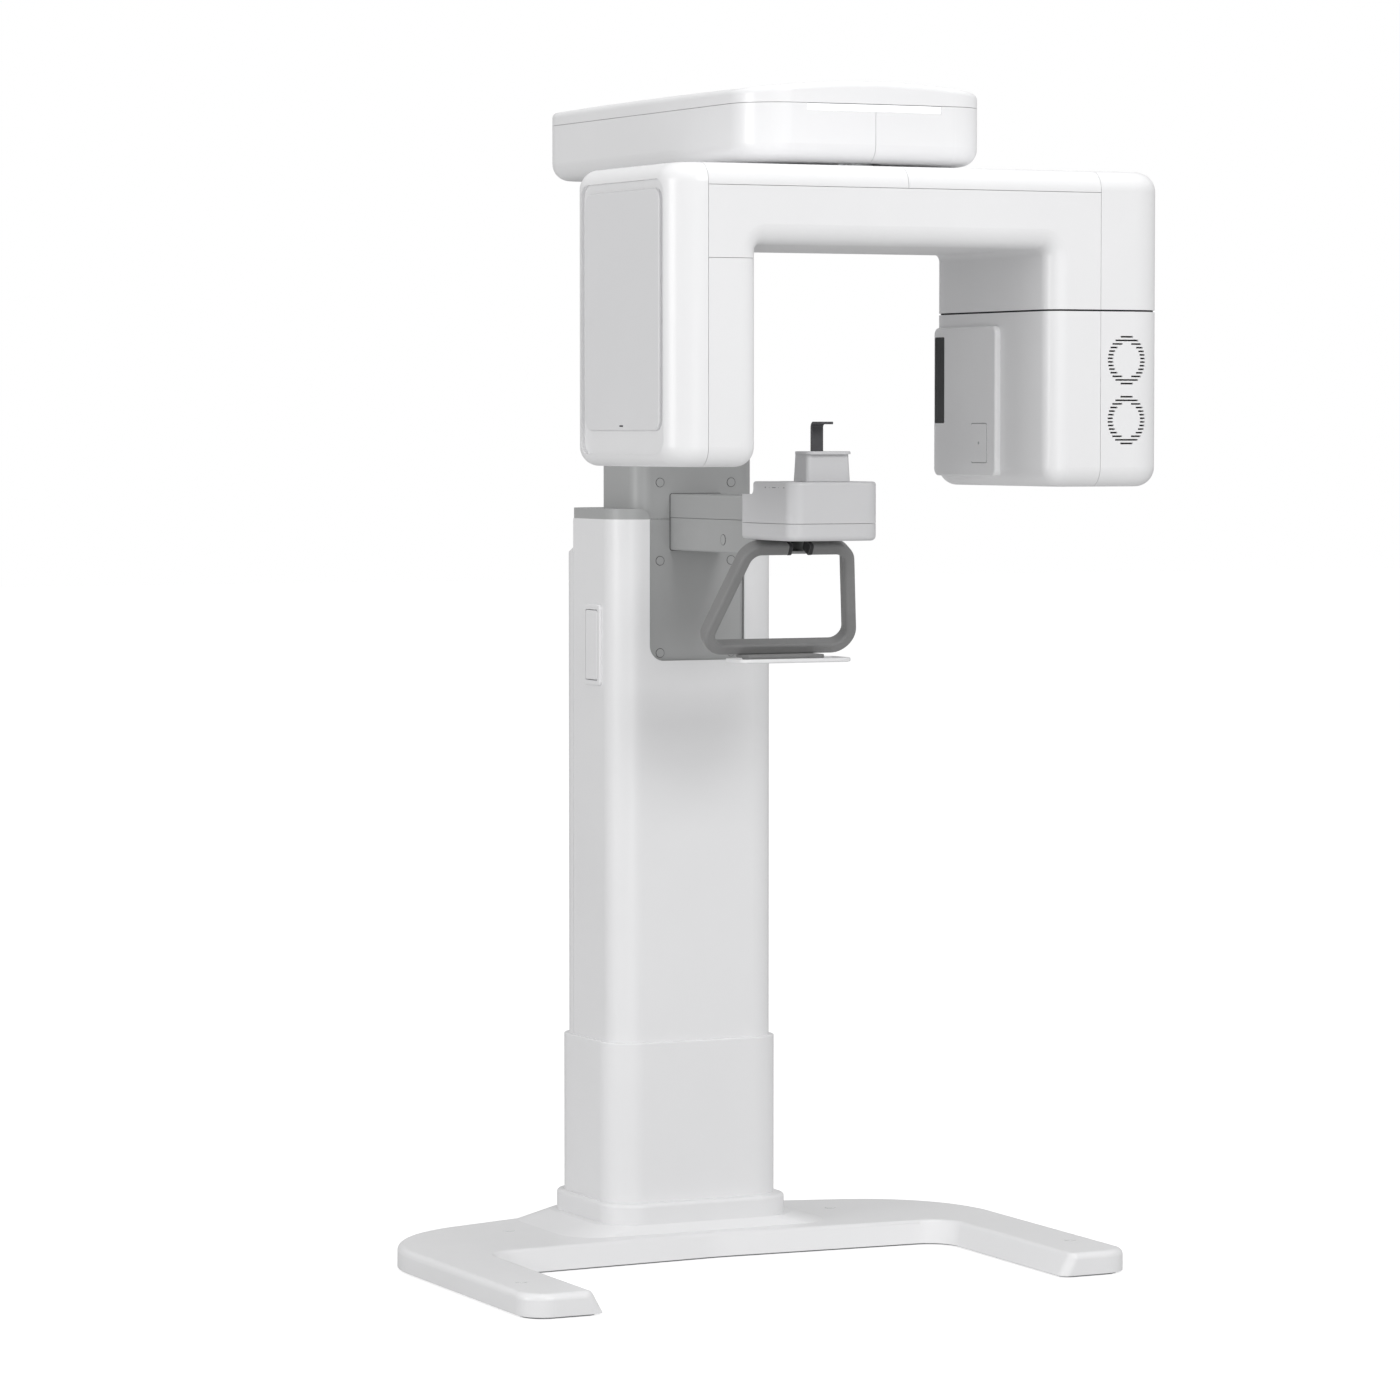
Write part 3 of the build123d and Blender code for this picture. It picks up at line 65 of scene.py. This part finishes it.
def noise(tree, place, scale, detail=2.0, stretch=None):
    """A noise texture in metres; stretch squeezes it along an axis."""
    texture = tree.nodes.new("ShaderNodeTexNoise")
    texture.inputs["Scale"].default_value = scale
    texture.inputs["Detail"].default_value = detail
    if stretch:
        mapping = tree.nodes.new("ShaderNodeMapping")
        mapping.inputs["Scale"].default_value = stretch
        tree.links.new(place, mapping.inputs["Vector"])
        place = mapping.outputs["Vector"]
    tree.links.new(place, texture.inputs["Vector"])
    return texture.outputs["Fac"]


def spread(tree, value, low, high):
    """The noise's middle range mapped to low..high."""
    node = tree.nodes.new("ShaderNodeMapRange")
    node.inputs["From Min"].default_value = 0.3
    node.inputs["From Max"].default_value = 0.7
    node.inputs["To Min"].default_value = low
    node.inputs["To Max"].default_value = high
    tree.links.new(value, node.inputs["Value"])
    return node.outputs["Result"]


def tint(tree, value, dark, light):
    """A colour between two shades, chosen by the noise."""
    ramp = tree.nodes.new("ShaderNodeValToRGB")
    ramp.color_ramp.elements[0].position = 0.3
    ramp.color_ramp.elements[1].position = 0.7
    ramp.color_ramp.elements[0].color = (*dark, 1)
    ramp.color_ramp.elements[1].color = (*light, 1)
    tree.links.new(value, ramp.inputs["Fac"])
    return ramp.outputs["Color"]


def bump(tree, shader, layers):
    """Stacks bumps on the shader's normal: (height, distance in metres, strength) each."""
    normal = None
    for height, distance, strength in layers:
        node = tree.nodes.new("ShaderNodeBump")
        node.inputs["Distance"].default_value = distance
        node.inputs["Strength"].default_value = strength
        tree.links.new(height, node.inputs["Height"])
        if normal:
            tree.links.new(normal, node.inputs["Normal"])
        normal = node.outputs["Normal"]
    tree.links.new(normal, shader.inputs["Normal"])


def shade(colour, factor):
    """A colour made darker or lighter."""
    return tuple(min(channel * factor, 1.0) for channel in colour)


GRAIN_SCALE, WAVINESS, GLOSS_DRIFT = 1400, 0.06, 0.035


def moulded(name, colour, rough, grain=0.25, coat=0.0):
    """Moulded or sprayed plastic: fine grain, slow waviness, uneven gloss, slight colour drift."""
    material, tree, shader, place = new_material(name)
    slow = noise(tree, place, 5.0, 3.0)
    fine = noise(tree, place, GRAIN_SCALE, 2.0)
    handled = noise(tree, place, 24.0, 4.0)
    colours = tint(tree, slow, shade(colour, 0.985), shade(colour, 1.01))
    tree.links.new(colours, shader.inputs["Base Color"])
    gloss = spread(tree, handled, rough - GLOSS_DRIFT, rough + GLOSS_DRIFT)
    tree.links.new(gloss, shader.inputs["Roughness"])
    bump(tree, shader, [(slow, 0.0008, WAVINESS), (fine, 0.00006, grain)])
    shader.inputs["IOR"].default_value = 1.48
    if coat:
        shader.inputs["Coat Weight"].default_value = coat
        shader.inputs["Coat Roughness"].default_value = 0.18
    return material


def metal(name, colour, rough, stretch=None, grain=0.3):
    """Machined, brushed or painted metal with tool marks along one axis."""
    material, tree, shader, place = new_material(name)
    marks = noise(tree, place, 320.0, 3.0, stretch)
    cloud = noise(tree, place, 14.0, 3.0)
    tree.links.new(tint(tree, cloud, shade(colour, 0.94), shade(colour, 1.03)), shader.inputs["Base Color"])
    tree.links.new(spread(tree, marks, rough - 0.07, rough + 0.07), shader.inputs["Roughness"])
    bump(tree, shader, [(marks, 0.00008, grain)])
    shader.inputs["Metallic"].default_value = 1.0
    return material


def soft_touch(name, colour):
    """Rubbery paint on the hand grips: soft sheen, fine leather-like stipple, polished patches."""
    material, tree, shader, place = new_material(name)
    cells = tree.nodes.new("ShaderNodeTexVoronoi")
    cells.inputs["Scale"].default_value = 1100.0
    tree.links.new(place, cells.inputs["Vector"])
    patches = noise(tree, place, 30.0, 3.0)
    tree.links.new(tint(tree, patches, shade(colour, 0.95), shade(colour, 1.04)), shader.inputs["Base Color"])
    tree.links.new(spread(tree, patches, 0.46, 0.58), shader.inputs["Roughness"])
    bump(tree, shader, [(cells.outputs["Distance"], 0.00008, 0.35), (patches, 0.0004, 0.05)])
    shader.inputs["Sheen Weight"].default_value = 0.15
    return material


def dark_glass(name, colour, rough):
    """A smoked, slightly wavy polycarbonate face."""
    material, tree, shader, place = new_material(name)
    wave = noise(tree, place, 12.0, 2.0)
    dust = noise(tree, place, 500.0, 5.0)
    tree.links.new(tint(tree, dust, colour, shade(colour, 1.5)), shader.inputs["Base Color"])
    tree.links.new(spread(tree, dust, rough, rough + 0.08), shader.inputs["Roughness"])
    bump(tree, shader, [(wave, 0.0006, 0.08)])
    shader.inputs["Coat Weight"].default_value = 0.5
    return material


def light_guide(name):
    """The frosted bar in the head's front, faintly lit from behind."""
    material, tree, shader, place = new_material(name)
    frost = noise(tree, place, 900.0, 2.0)
    glow = noise(tree, place, 9.0, 2.0)
    tree.links.new(tint(tree, glow, (0.90, 0.91, 0.92), (0.97, 0.97, 0.98)), shader.inputs["Base Color"])
    tree.links.new(spread(tree, frost, 0.28, 0.40), shader.inputs["Roughness"])
    bump(tree, shader, [(frost, 0.00005, 0.3)])
    shader.inputs["Emission Color"].default_value = (1.0, 1.0, 1.0, 1.0)
    shader.inputs["Emission Strength"].default_value = 0.25
    return material


WHITE = (0.83, 0.83, 0.838)
materials = {
    "white_cover": moulded("white_cover", WHITE, 0.36, 0.16, coat=0.25),
    "light_grey_panel": moulded("light_grey_panel", (0.755, 0.755, 0.765), 0.42, 0.3),
    "grey_cover": moulded("grey_cover", (0.40, 0.405, 0.405), 0.40, 0.25, coat=0.1),
    "chin_plastic": moulded("chin_plastic", (0.62, 0.62, 0.63), 0.44, 0.35),
    "handle_grip": soft_touch("handle_grip", (0.215, 0.215, 0.215)),
    "dark_window": dark_glass("dark_window", (0.012, 0.012, 0.014), 0.10),
    "bite_plastic": moulded("bite_plastic", (0.075, 0.075, 0.08), 0.34, 0.3),
    "light_strip": light_guide("light_strip"),
    "steel": metal("steel", (0.52, 0.53, 0.54), 0.36, (1, 1, 0.05)),
    "alloy": metal("alloy", (0.70, 0.71, 0.72), 0.30, (1, 0.05, 1)),
    "black_plastic": moulded("black_plastic", (0.02, 0.02, 0.022), 0.45, 0.4),
    "belt_rubber": moulded("belt_rubber", (0.018, 0.018, 0.018), 0.6, 0.5),
    "unit_grey": moulded("unit_grey", (0.16, 0.17, 0.18), 0.5, 0.4),
}
slot_of = {entry["node"]: entry["material_slot"] for entry in frame["record"]["subparts"]}
for name, part in nodes.items():
    part.data.materials.clear()
    part.data.materials.append(materials[slot_of[name]])


# ---- pieces added to the CAD covers -------------------------------------------------------------
def piece(name, mesh_maker, slot_name, body, material=None, stands_for=()):
    """One mesh made by a function that fills a bmesh, riding on a CAD body."""
    data = bpy.data.meshes.new(name)
    work = bmesh.new()
    mesh_maker(work)
    bmesh.ops.recalc_face_normals(work, faces=work.faces)
    work.to_mesh(data)
    work.free()
    made = bpy.data.objects.new(name, data)
    scene.collection.objects.link(made)
    data.materials.append(material or materials[slot_name])
    for face in data.polygons:
        face.use_smooth = True
    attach(made, body)
    if stands_for:
        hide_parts(*stands_for)


def rounded_loop(half_a, half_b, radii, steps=8):
    """Points round a rectangle; radii are the corners at (+a,+b), (-a,+b), (-a,-b), (+a,-b)."""
    points = []
    for turn, (sign_a, sign_b), r in zip(range(4), ((1, 1), (-1, 1), (-1, -1), (1, -1)), radii):
        for step in range(steps + 1):
            angle = math.radians(90 * (turn + step / steps))
            points.append((sign_a * (half_a - r) + r * math.cos(angle),
                           sign_b * (half_b - r) + r * math.sin(angle)))
    return points


def stack(work, rows, close_ends=True):
    """Joins loops of equal length into a skin; rows are lists of 3-D points."""
    loops = [[work.verts.new(point) for point in row] for row in rows]
    count = len(loops[0])
    for low, high in zip(loops, loops[1:]):
        for n in range(count):
            work.faces.new((low[n], low[(n + 1) % count], high[(n + 1) % count], high[n]))
    if close_ends:
        work.faces.new(loops[0][::-1])
        work.faces.new(loops[-1])


AXES = {  # a part lies flat on this plane: (its first axis, its second axis, its outward normal)
    "up": (Vector((1, 0, 0)), Vector((0, 1, 0)), Vector((0, 0, 1))),
    "front": (Vector((1, 0, 0)), Vector((0, 0, 1)), Vector((0, -1, 0))),
    "left": (Vector((0, -1, 0)), Vector((0, 0, 1)), Vector((-1, 0, 0))),
    "right": (Vector((0, 1, 0)), Vector((0, 0, 1)), Vector((1, 0, 0))),
}


def laid(centre, facing, loop, height):
    """A 2-D loop placed on a face: centre in millimetres, height above the face in millimetres."""
    a, b, out = AXES[facing]
    return [(Vector(centre) + a * u + b * v + out * height) * MM for u, v in loop]


def circle(radius, steps=40):
    """A ring of points."""
    return [(radius * math.cos(math.tau * n / steps), radius * math.sin(math.tau * n / steps))
            for n in range(steps)]


def gap_shade_ring(centre, facing, inner, outer, proud):
    """Painted shade round a pressed-in cap: a flat dark ring with a raised middle, standing for the shade in
    the recess round the cap.
    """
    def make(work):
        rows = [laid(centre, facing, circle(r), h) for r, h in (
            (outer, -0.3), (outer, proud * 0.5), ((inner + outer) / 2, proud), (inner, proud * 0.4),
            (inner, -0.3))]
        stack(work, rows + [rows[0]], close_ends=False)
        bmesh.ops.remove_doubles(work, verts=work.verts, dist=1e-6)
    return make


def screw_head(centre, facing, radius, proud):
    """A button-head screw with a hexagonal socket."""
    def make(work):
        profile = ((radius, -0.4), (radius, proud * 0.35), (radius * 0.86, proud * 0.8),
                   (radius * 0.6, proud))
        rows = [laid(centre, facing, circle(r, 36), h) for r, h in profile]
        hexagon = []
        for n in range(36):
            angle = math.radians(10 * n)
            reach = radius * 0.42 / max(math.cos(math.radians((10 * n) % 60 - 30)), 0.1)
            hexagon.append((reach * math.cos(angle), reach * math.sin(angle)))
        rows.append(laid(centre, facing, hexagon, proud))
        rows.append(laid(centre, facing, hexagon, proud * 0.2))
        stack(work, rows)
    return make


def pill(centre, facing, half_a, half_b, proud):
    """A small raised rounded rectangle with a softened top."""
    r = min(half_a, half_b)

    def make(work):
        rows = []
        for shrink, height in ((0.0, -0.2), (0.0, proud * 0.6), (min(proud * 0.4, r * 0.5), proud)):
            loop = rounded_loop(half_a - shrink, half_b - shrink, [r - shrink] * 4)
            rows.append(laid(centre, facing, loop, height))
        stack(work, rows)
    return make


# dark rings round the screw caps of the carriage and the chinrest arm, and round the anchor caps: painted
# shade for the recess round each cap
# a dark grey that paints the shade in gaps and joints
painted_gap_shade = moulded("painted_gap_shade", (0.10, 0.10, 0.10), 0.6, 0.4)
CAP_SHADE_PROUD, ANCHOR_SHADE_PROUD = 0.7, 0.5
CARRIAGE_FRONT, ARM_SIDE, BASE_TOP = -90, 40, 34
CAPS = [(side * 56, CARRIAGE_FRONT, z) for side in (-1, 1) for z in (1100, 989, 858)]
ANCHORS = [(side * x, y, BASE_TOP) for x, y in ((422, -431), (257, -10)) for side in (-1, 1)]
for number, centre in enumerate(CAPS):
    piece(f"carriage_cap_shade_ring_{number}", gap_shade_ring(centre, "front", 5.7, 6.7, CAP_SHADE_PROUD), "grey_cover", "carriage",
          material=painted_gap_shade)
for side, facing in ((-1, "left"), (1, "right")):
    piece(f"arm_shade_ring_{facing}", gap_shade_ring((side * ARM_SIDE, -263, 1022), facing, 6.7, 7.7, CAP_SHADE_PROUD),
          "grey_cover", "carriage", material=painted_gap_shade)
for number, centre in enumerate(ANCHORS):
    piece(f"anchor_shade_ring_{number}", gap_shade_ring(centre, "up", 7.5, 8.1, ANCHOR_SHADE_PROUD), "white_cover",
          "column", material=materials["grey_cover"])

# tray with its rim, and the dark pad that carries it under the handles
tray_low, tray_high = (Vector(corner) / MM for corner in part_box("tray"))
TRAY_T, TRAY_RIM, TRAY_DISH, TRAY_DEPTH, TRAY_R = 6.0, 5.0, 2.2, 62.0, 12
PAD_HALF_X, PAD_HALF_Y, PAD_T, PAD_R = 58, 24, 4.0, 6
tray_top = tray_high.z - PAD_T


def tray_shape(work):
    """A dished plate with a rounded rim."""
    half_x, half_y = (tray_high.x - tray_low.x) / 2, TRAY_DEPTH / 2
    centre = (0, tray_low.y + half_y, 0)
    rows = []
    for shrink, z in ((3.0, 0.0), (0.6, 0.8), (0.0, 2.2), (0.0, TRAY_T - 1.4), (0.5, TRAY_T - 0.4),
                      (1.5, TRAY_T), (TRAY_RIM - 1.2, TRAY_T), (TRAY_RIM, TRAY_T - 0.8),
                      (TRAY_RIM + 1.6, TRAY_T - TRAY_DISH)):
        loop = rounded_loop(half_x - shrink, half_y - shrink, [TRAY_R - min(shrink, 8)] * 4)
        rows.append(laid(centre, "up", loop, tray_low.z + z))
    stack(work, rows)


def pad_shape(work):
    """The rubber-coated block between the handle's lower bar and the tray."""
    centre = (0, tray_high.y - PAD_HALF_Y, 0)
    rows = []
    for shrink, z in ((0.0, -TRAY_DISH), (0.0, PAD_T - 1.2), (0.4, PAD_T - 0.4), (1.4, PAD_T)):
        loop = rounded_loop(PAD_HALF_X - shrink, PAD_HALF_Y - shrink, [PAD_R - shrink] * 4)
        rows.append(laid(centre, "up", loop, tray_top + z))
    stack(work, rows)


piece("tray_plate", tray_shape, "white_cover", "carriage", stands_for=("tray",))
piece("tray_pad", pad_shape, "handle_grip", "carriage", stands_for=("tray",))

# dark caps on the ends of the handle's top bars
grip_high = Vector(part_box("handle_frame")[1]) / MM
LEAN = Vector((0, 70, -138)).normalized()     # down the plane of the handle's loop
ACROSS = Vector((1, 0, 0)).cross(LEAN)        # square to that plane
GRIP_W, GRIP_T, GRIP_R, GRIP_GAP = 21.0, 16.0, 4.0, 26.0
GRIP_Y = -415
grip_reach = abs(ACROSS.z) * (GRIP_W / 2 - GRIP_R) + abs(LEAN.z) * (GRIP_T / 2 - GRIP_R) + GRIP_R
grip_z = grip_high.z - grip_reach


def grip_end(side):
    """A cap that covers the end of one top bar, with a shallow step where it meets the grip."""
    def make(work):
        rows = []
        for along, grow in ((-0.3, -1.6), (-0.2, -0.4), (0.6, 0.4), (5.0, 0.4), (5.6, 0.1), (5.6, -0.3)):
            loop = rounded_loop(GRIP_W / 2 + grow, GRIP_T / 2 + grow, [max(GRIP_R + grow, 1)] * 4)
            middle = Vector((side * (GRIP_GAP / 2 + along), GRIP_Y, grip_z))
            rows.append([(middle + ACROSS * u + LEAN * v) * MM for u, v in loop])
        stack(work, rows)
    return make


for side, name in ((-1, "left"), (1, "right")):
    piece(f"grip_end_{name}", grip_end(side), "black_plastic", "carriage")

# latch slot of the end panel as a raised black mark that paints the slot's shade, service door screw,
# indicator marks
piece("latch_slot_shade", pill((-339, -574, 1180), "left", 5.5, 1.0, 0.25), "black_plastic", "rotating_arm")
piece("door_screw", screw_head((204.4, -555, 1157), "left", 2.0, 0.6), "steel", "rotating_arm")
BOX_SIDE, MARK_Z, MARK_PROUD = -68, 1097, 0.12
MARKS = ((-508, 2.2, 0.5), (-492, 0.6, 0.6), (-478, 5.5, 0.45), (-464, 0.6, 0.6), (-452, 1.4, 1.0))
for number, (y, half_a, half_b) in enumerate(MARKS):
    piece(f"indicator_{number}", pill((BOX_SIDE, y, MARK_Z), "left", half_a, half_b, MARK_PROUD),
          "grey_cover", "carriage", material=materials["unit_grey"])


def band(x, y, z, radii, wall):
    """An upright strip round a rounded rectangle, open above and below."""
    centre = ((x[0] + x[1]) / 2, (y[0] + y[1]) / 2, 0)
    half_x, half_y = (x[1] - x[0]) / 2, (y[1] - y[0]) / 2

    def make(work):
        rows = []
        for shrink, height in ((0, z[0]), (0, z[1]), (wall, z[1]), (wall, z[0]), (0, z[0])):
            loop = rounded_loop(half_x - shrink, half_y - shrink, [r - shrink for r in radii])
            rows.append(laid(centre, "up", loop, height))
        stack(work, rows, close_ends=False)
        bmesh.ops.remove_doubles(work, verts=work.verts, dist=1e-6)
    return make


def outline_ring(centre, facing, half_a, half_b, wide, radius, proud):
    """A flat rounded frame that lies on a face."""
    def make(work):
        rows = []
        for grow, height in ((0, -0.2), (0, proud), (-wide, proud), (-wide, -0.2), (0, -0.2)):
            loop = rounded_loop(half_a + grow, half_b + grow, [max(radius + grow, 0.3)] * 4)
            rows.append(laid(centre, facing, loop, height))
        stack(work, rows, close_ends=False)
        bmesh.ops.remove_doubles(work, verts=work.verts, dist=1e-7)
    return make


SEAM_SHADE_IN = 2.2          # the generator's seam band lies this far behind the covers' faces
# a black band inside the seam between the generator covers: the gap is real, its dark is painted shade
piece("generator_seam_shade", band((213 + SEAM_SHADE_IN, 394 - SEAM_SHADE_IN), (-738 + SEAM_SHADE_IN, -405 - SEAM_SHADE_IN),
                               (1333.0, 1335.0), [48, 24, 24, 48], 1.0),
      "black_plastic", "rotating_arm")
# a dark ring where the chinrest arm meets the carriage front: painted shade for the joint
piece("arm_joint_shade", outline_ring((0, CARRIAGE_FRONT, 1044), "front", 40.9, 40.9, 1.1, 3.9, 0.9),
      "black_plastic", "carriage", material=painted_gap_shade)
# a grey line round the service door: painted shade for the door's seam
piece("door_seam_shade", outline_ring((205, -555, 1157), "left", 22.1, 27.1, 0.5, 3.0, 0.05), "white_cover",
      "rotating_arm", material=materials["unit_grey"])
piece("window_frame", outline_ring((205, -441.5, 1243), "left", 13.6, 59.1, 0.5, 2.0, 0.08), "dark_window",
      "rotating_arm", material=materials["black_plastic"])


def notch_shade_strip(work):
    """A black strip behind the notch's edge, in the gap to the lifting column: painted shade for that gap."""
    half, low, high, r, wide = 75.2, 846.8, 1046.0, 22.0, 2.6
    front, behind = -92.6, -90.4

    def outline(grow):
        points = [(-half - grow, high)]
        for step in range(13):
            angle = math.radians(180 + 90 * step / 12)
            points.append((-half + r + (r + grow) * math.cos(angle), low + r + (r + grow) * math.sin(angle)))
        mirrored = [(-x, z) for x, z in reversed(points)]
        return points + mirrored

    rows = []
    for grow, y in ((0, front), (0, behind), (wide, behind), (wide, front), (0, front)):
        rows.append([Vector((x, y, z)) * MM for x, z in outline(grow)])
    loops = [[work.verts.new(point) for point in row] for row in rows[:-1]]
    loops.append(loops[0])
    for low_row, high_row in zip(loops, loops[1:]):
        for n in range(len(low_row) - 1):
            work.faces.new((low_row[n], low_row[n + 1], high_row[n + 1], high_row[n]))
    for end in (0, -1):
        work.faces.new([loop[end] for loop in loops[:-1]])


piece("notch_shade_strip", notch_shade_strip, "black_plastic", "column")


# ---- stage, light and camera --------------------------------------------------------------------
def seen_white(name, colour, strength):
    """A surface that looks white to the camera and bounces only a little light."""
    material = bpy.data.materials.new(name)
    material.use_nodes = True
    tree = material.node_tree
    tree.nodes.clear()
    out = tree.nodes.new("ShaderNodeOutputMaterial")
    ray = tree.nodes.new("ShaderNodeLightPath")
    both = tree.nodes.new("ShaderNodeAddShader")
    mix = tree.nodes.new("ShaderNodeMixShader")
    matt = tree.nodes.new("ShaderNodeBsdfDiffuse")
    dim = tree.nodes.new("ShaderNodeBsdfDiffuse")
    glow = tree.nodes.new("ShaderNodeEmission")
    matt.inputs["Color"].default_value = (*colour, 1)
    dim.inputs["Color"].default_value = (0.62, 0.62, 0.62, 1)
    glow.inputs["Strength"].default_value = strength
    tree.links.new(matt.outputs[0], both.inputs[0])
    tree.links.new(glow.outputs[0], both.inputs[1])
    tree.links.new(ray.outputs["Is Camera Ray"], mix.inputs[0])
    tree.links.new(dim.outputs[0], mix.inputs[1])
    tree.links.new(both.outputs[0], mix.inputs[2])
    tree.links.new(mix.outputs[0], out.inputs["Surface"])
    return material


FLOOR_HALF = 30.0
floor_mesh = bpy.data.meshes.new("floor")
floor_mesh.from_pydata(
    [(-FLOOR_HALF, -FLOOR_HALF, 0), (FLOOR_HALF, -FLOOR_HALF, 0), (FLOOR_HALF, FLOOR_HALF, 0),
     (-FLOOR_HALF, FLOOR_HALF, 0)], [], [(0, 1, 2, 3)])
floor = bpy.data.objects.new("floor", floor_mesh)
scene.collection.objects.link(floor)
floor.data.materials.append(seen_white("floor_white", (0.34, 0.34, 0.34), 0.86))

world = bpy.data.worlds.new("studio")
scene.world = world
world.use_nodes = True
sky = world.node_tree
backdrop = sky.nodes["Background"]
backdrop.inputs["Color"].default_value = (1, 1, 1, 1)
backdrop.inputs["Strength"].default_value = 1.0
ambient = sky.nodes.new("ShaderNodeBackground")
ambient.inputs["Color"].default_value = (1, 1, 1, 1)
ambient.inputs["Strength"].default_value = 0.50
seen = sky.nodes.new("ShaderNodeLightPath")
chosen = sky.nodes.new("ShaderNodeMixShader")
sky.links.new(seen.outputs["Is Camera Ray"], chosen.inputs[0])
sky.links.new(ambient.outputs[0], chosen.inputs[1])
sky.links.new(backdrop.outputs[0], chosen.inputs[2])
sky.links.new(chosen.outputs[0], sky.nodes["World Output"].inputs["Surface"])


def softbox(name, place, aim, size, power):
    """A square studio light that looks at a point."""
    lamp = bpy.data.lights.new(name, "AREA")
    lamp.size = size
    lamp.energy = power
    holder = bpy.data.objects.new(name, lamp)
    scene.collection.objects.link(holder)
    holder.location = place
    holder.rotation_euler = (Vector(aim) - Vector(place)).to_track_quat("-Z", "Y").to_euler()


softbox("key", (0.2, -5.2, 3.4), (0.1, -0.5, 0.9), 2.0, 108)
softbox("low_fill", (-1.4, -4.6, 0.75), (-0.1, -0.3, 0.25), 1.2, 9)
softbox("left", (-4.8, -0.8, 1.9), (0.0, -0.3, 1.1), 1.8, 62)
softbox("top", (0.2, -0.8, 4.4), (0.0, -0.4, 0.0), 2.2, 52)

FOCAL_PX, IMAGE_PX, SENSOR = 5262.0, 1400.0, 36.0
VIEW_AZIMUTH, VIEW_ELEVATION = math.radians(25.56), math.radians(2.98)
camera = bpy.data.objects.new("camera", bpy.data.cameras.new("camera"))
scene.collection.objects.link(camera)
camera.data.sensor_width = SENSOR
camera.data.lens = FOCAL_PX / IMAGE_PX * SENSOR
camera.data.clip_end = 100.0
camera.location = (-3.228, -6.854, 1.180)
looking = Vector((math.sin(VIEW_AZIMUTH) * math.cos(VIEW_ELEVATION),
                  math.cos(VIEW_AZIMUTH) * math.cos(VIEW_ELEVATION), -math.sin(VIEW_ELEVATION)))
camera.rotation_euler = looking.to_track_quat("-Z", "Y").to_euler()
scene.camera = camera
scene.view_settings.view_transform = "Standard"
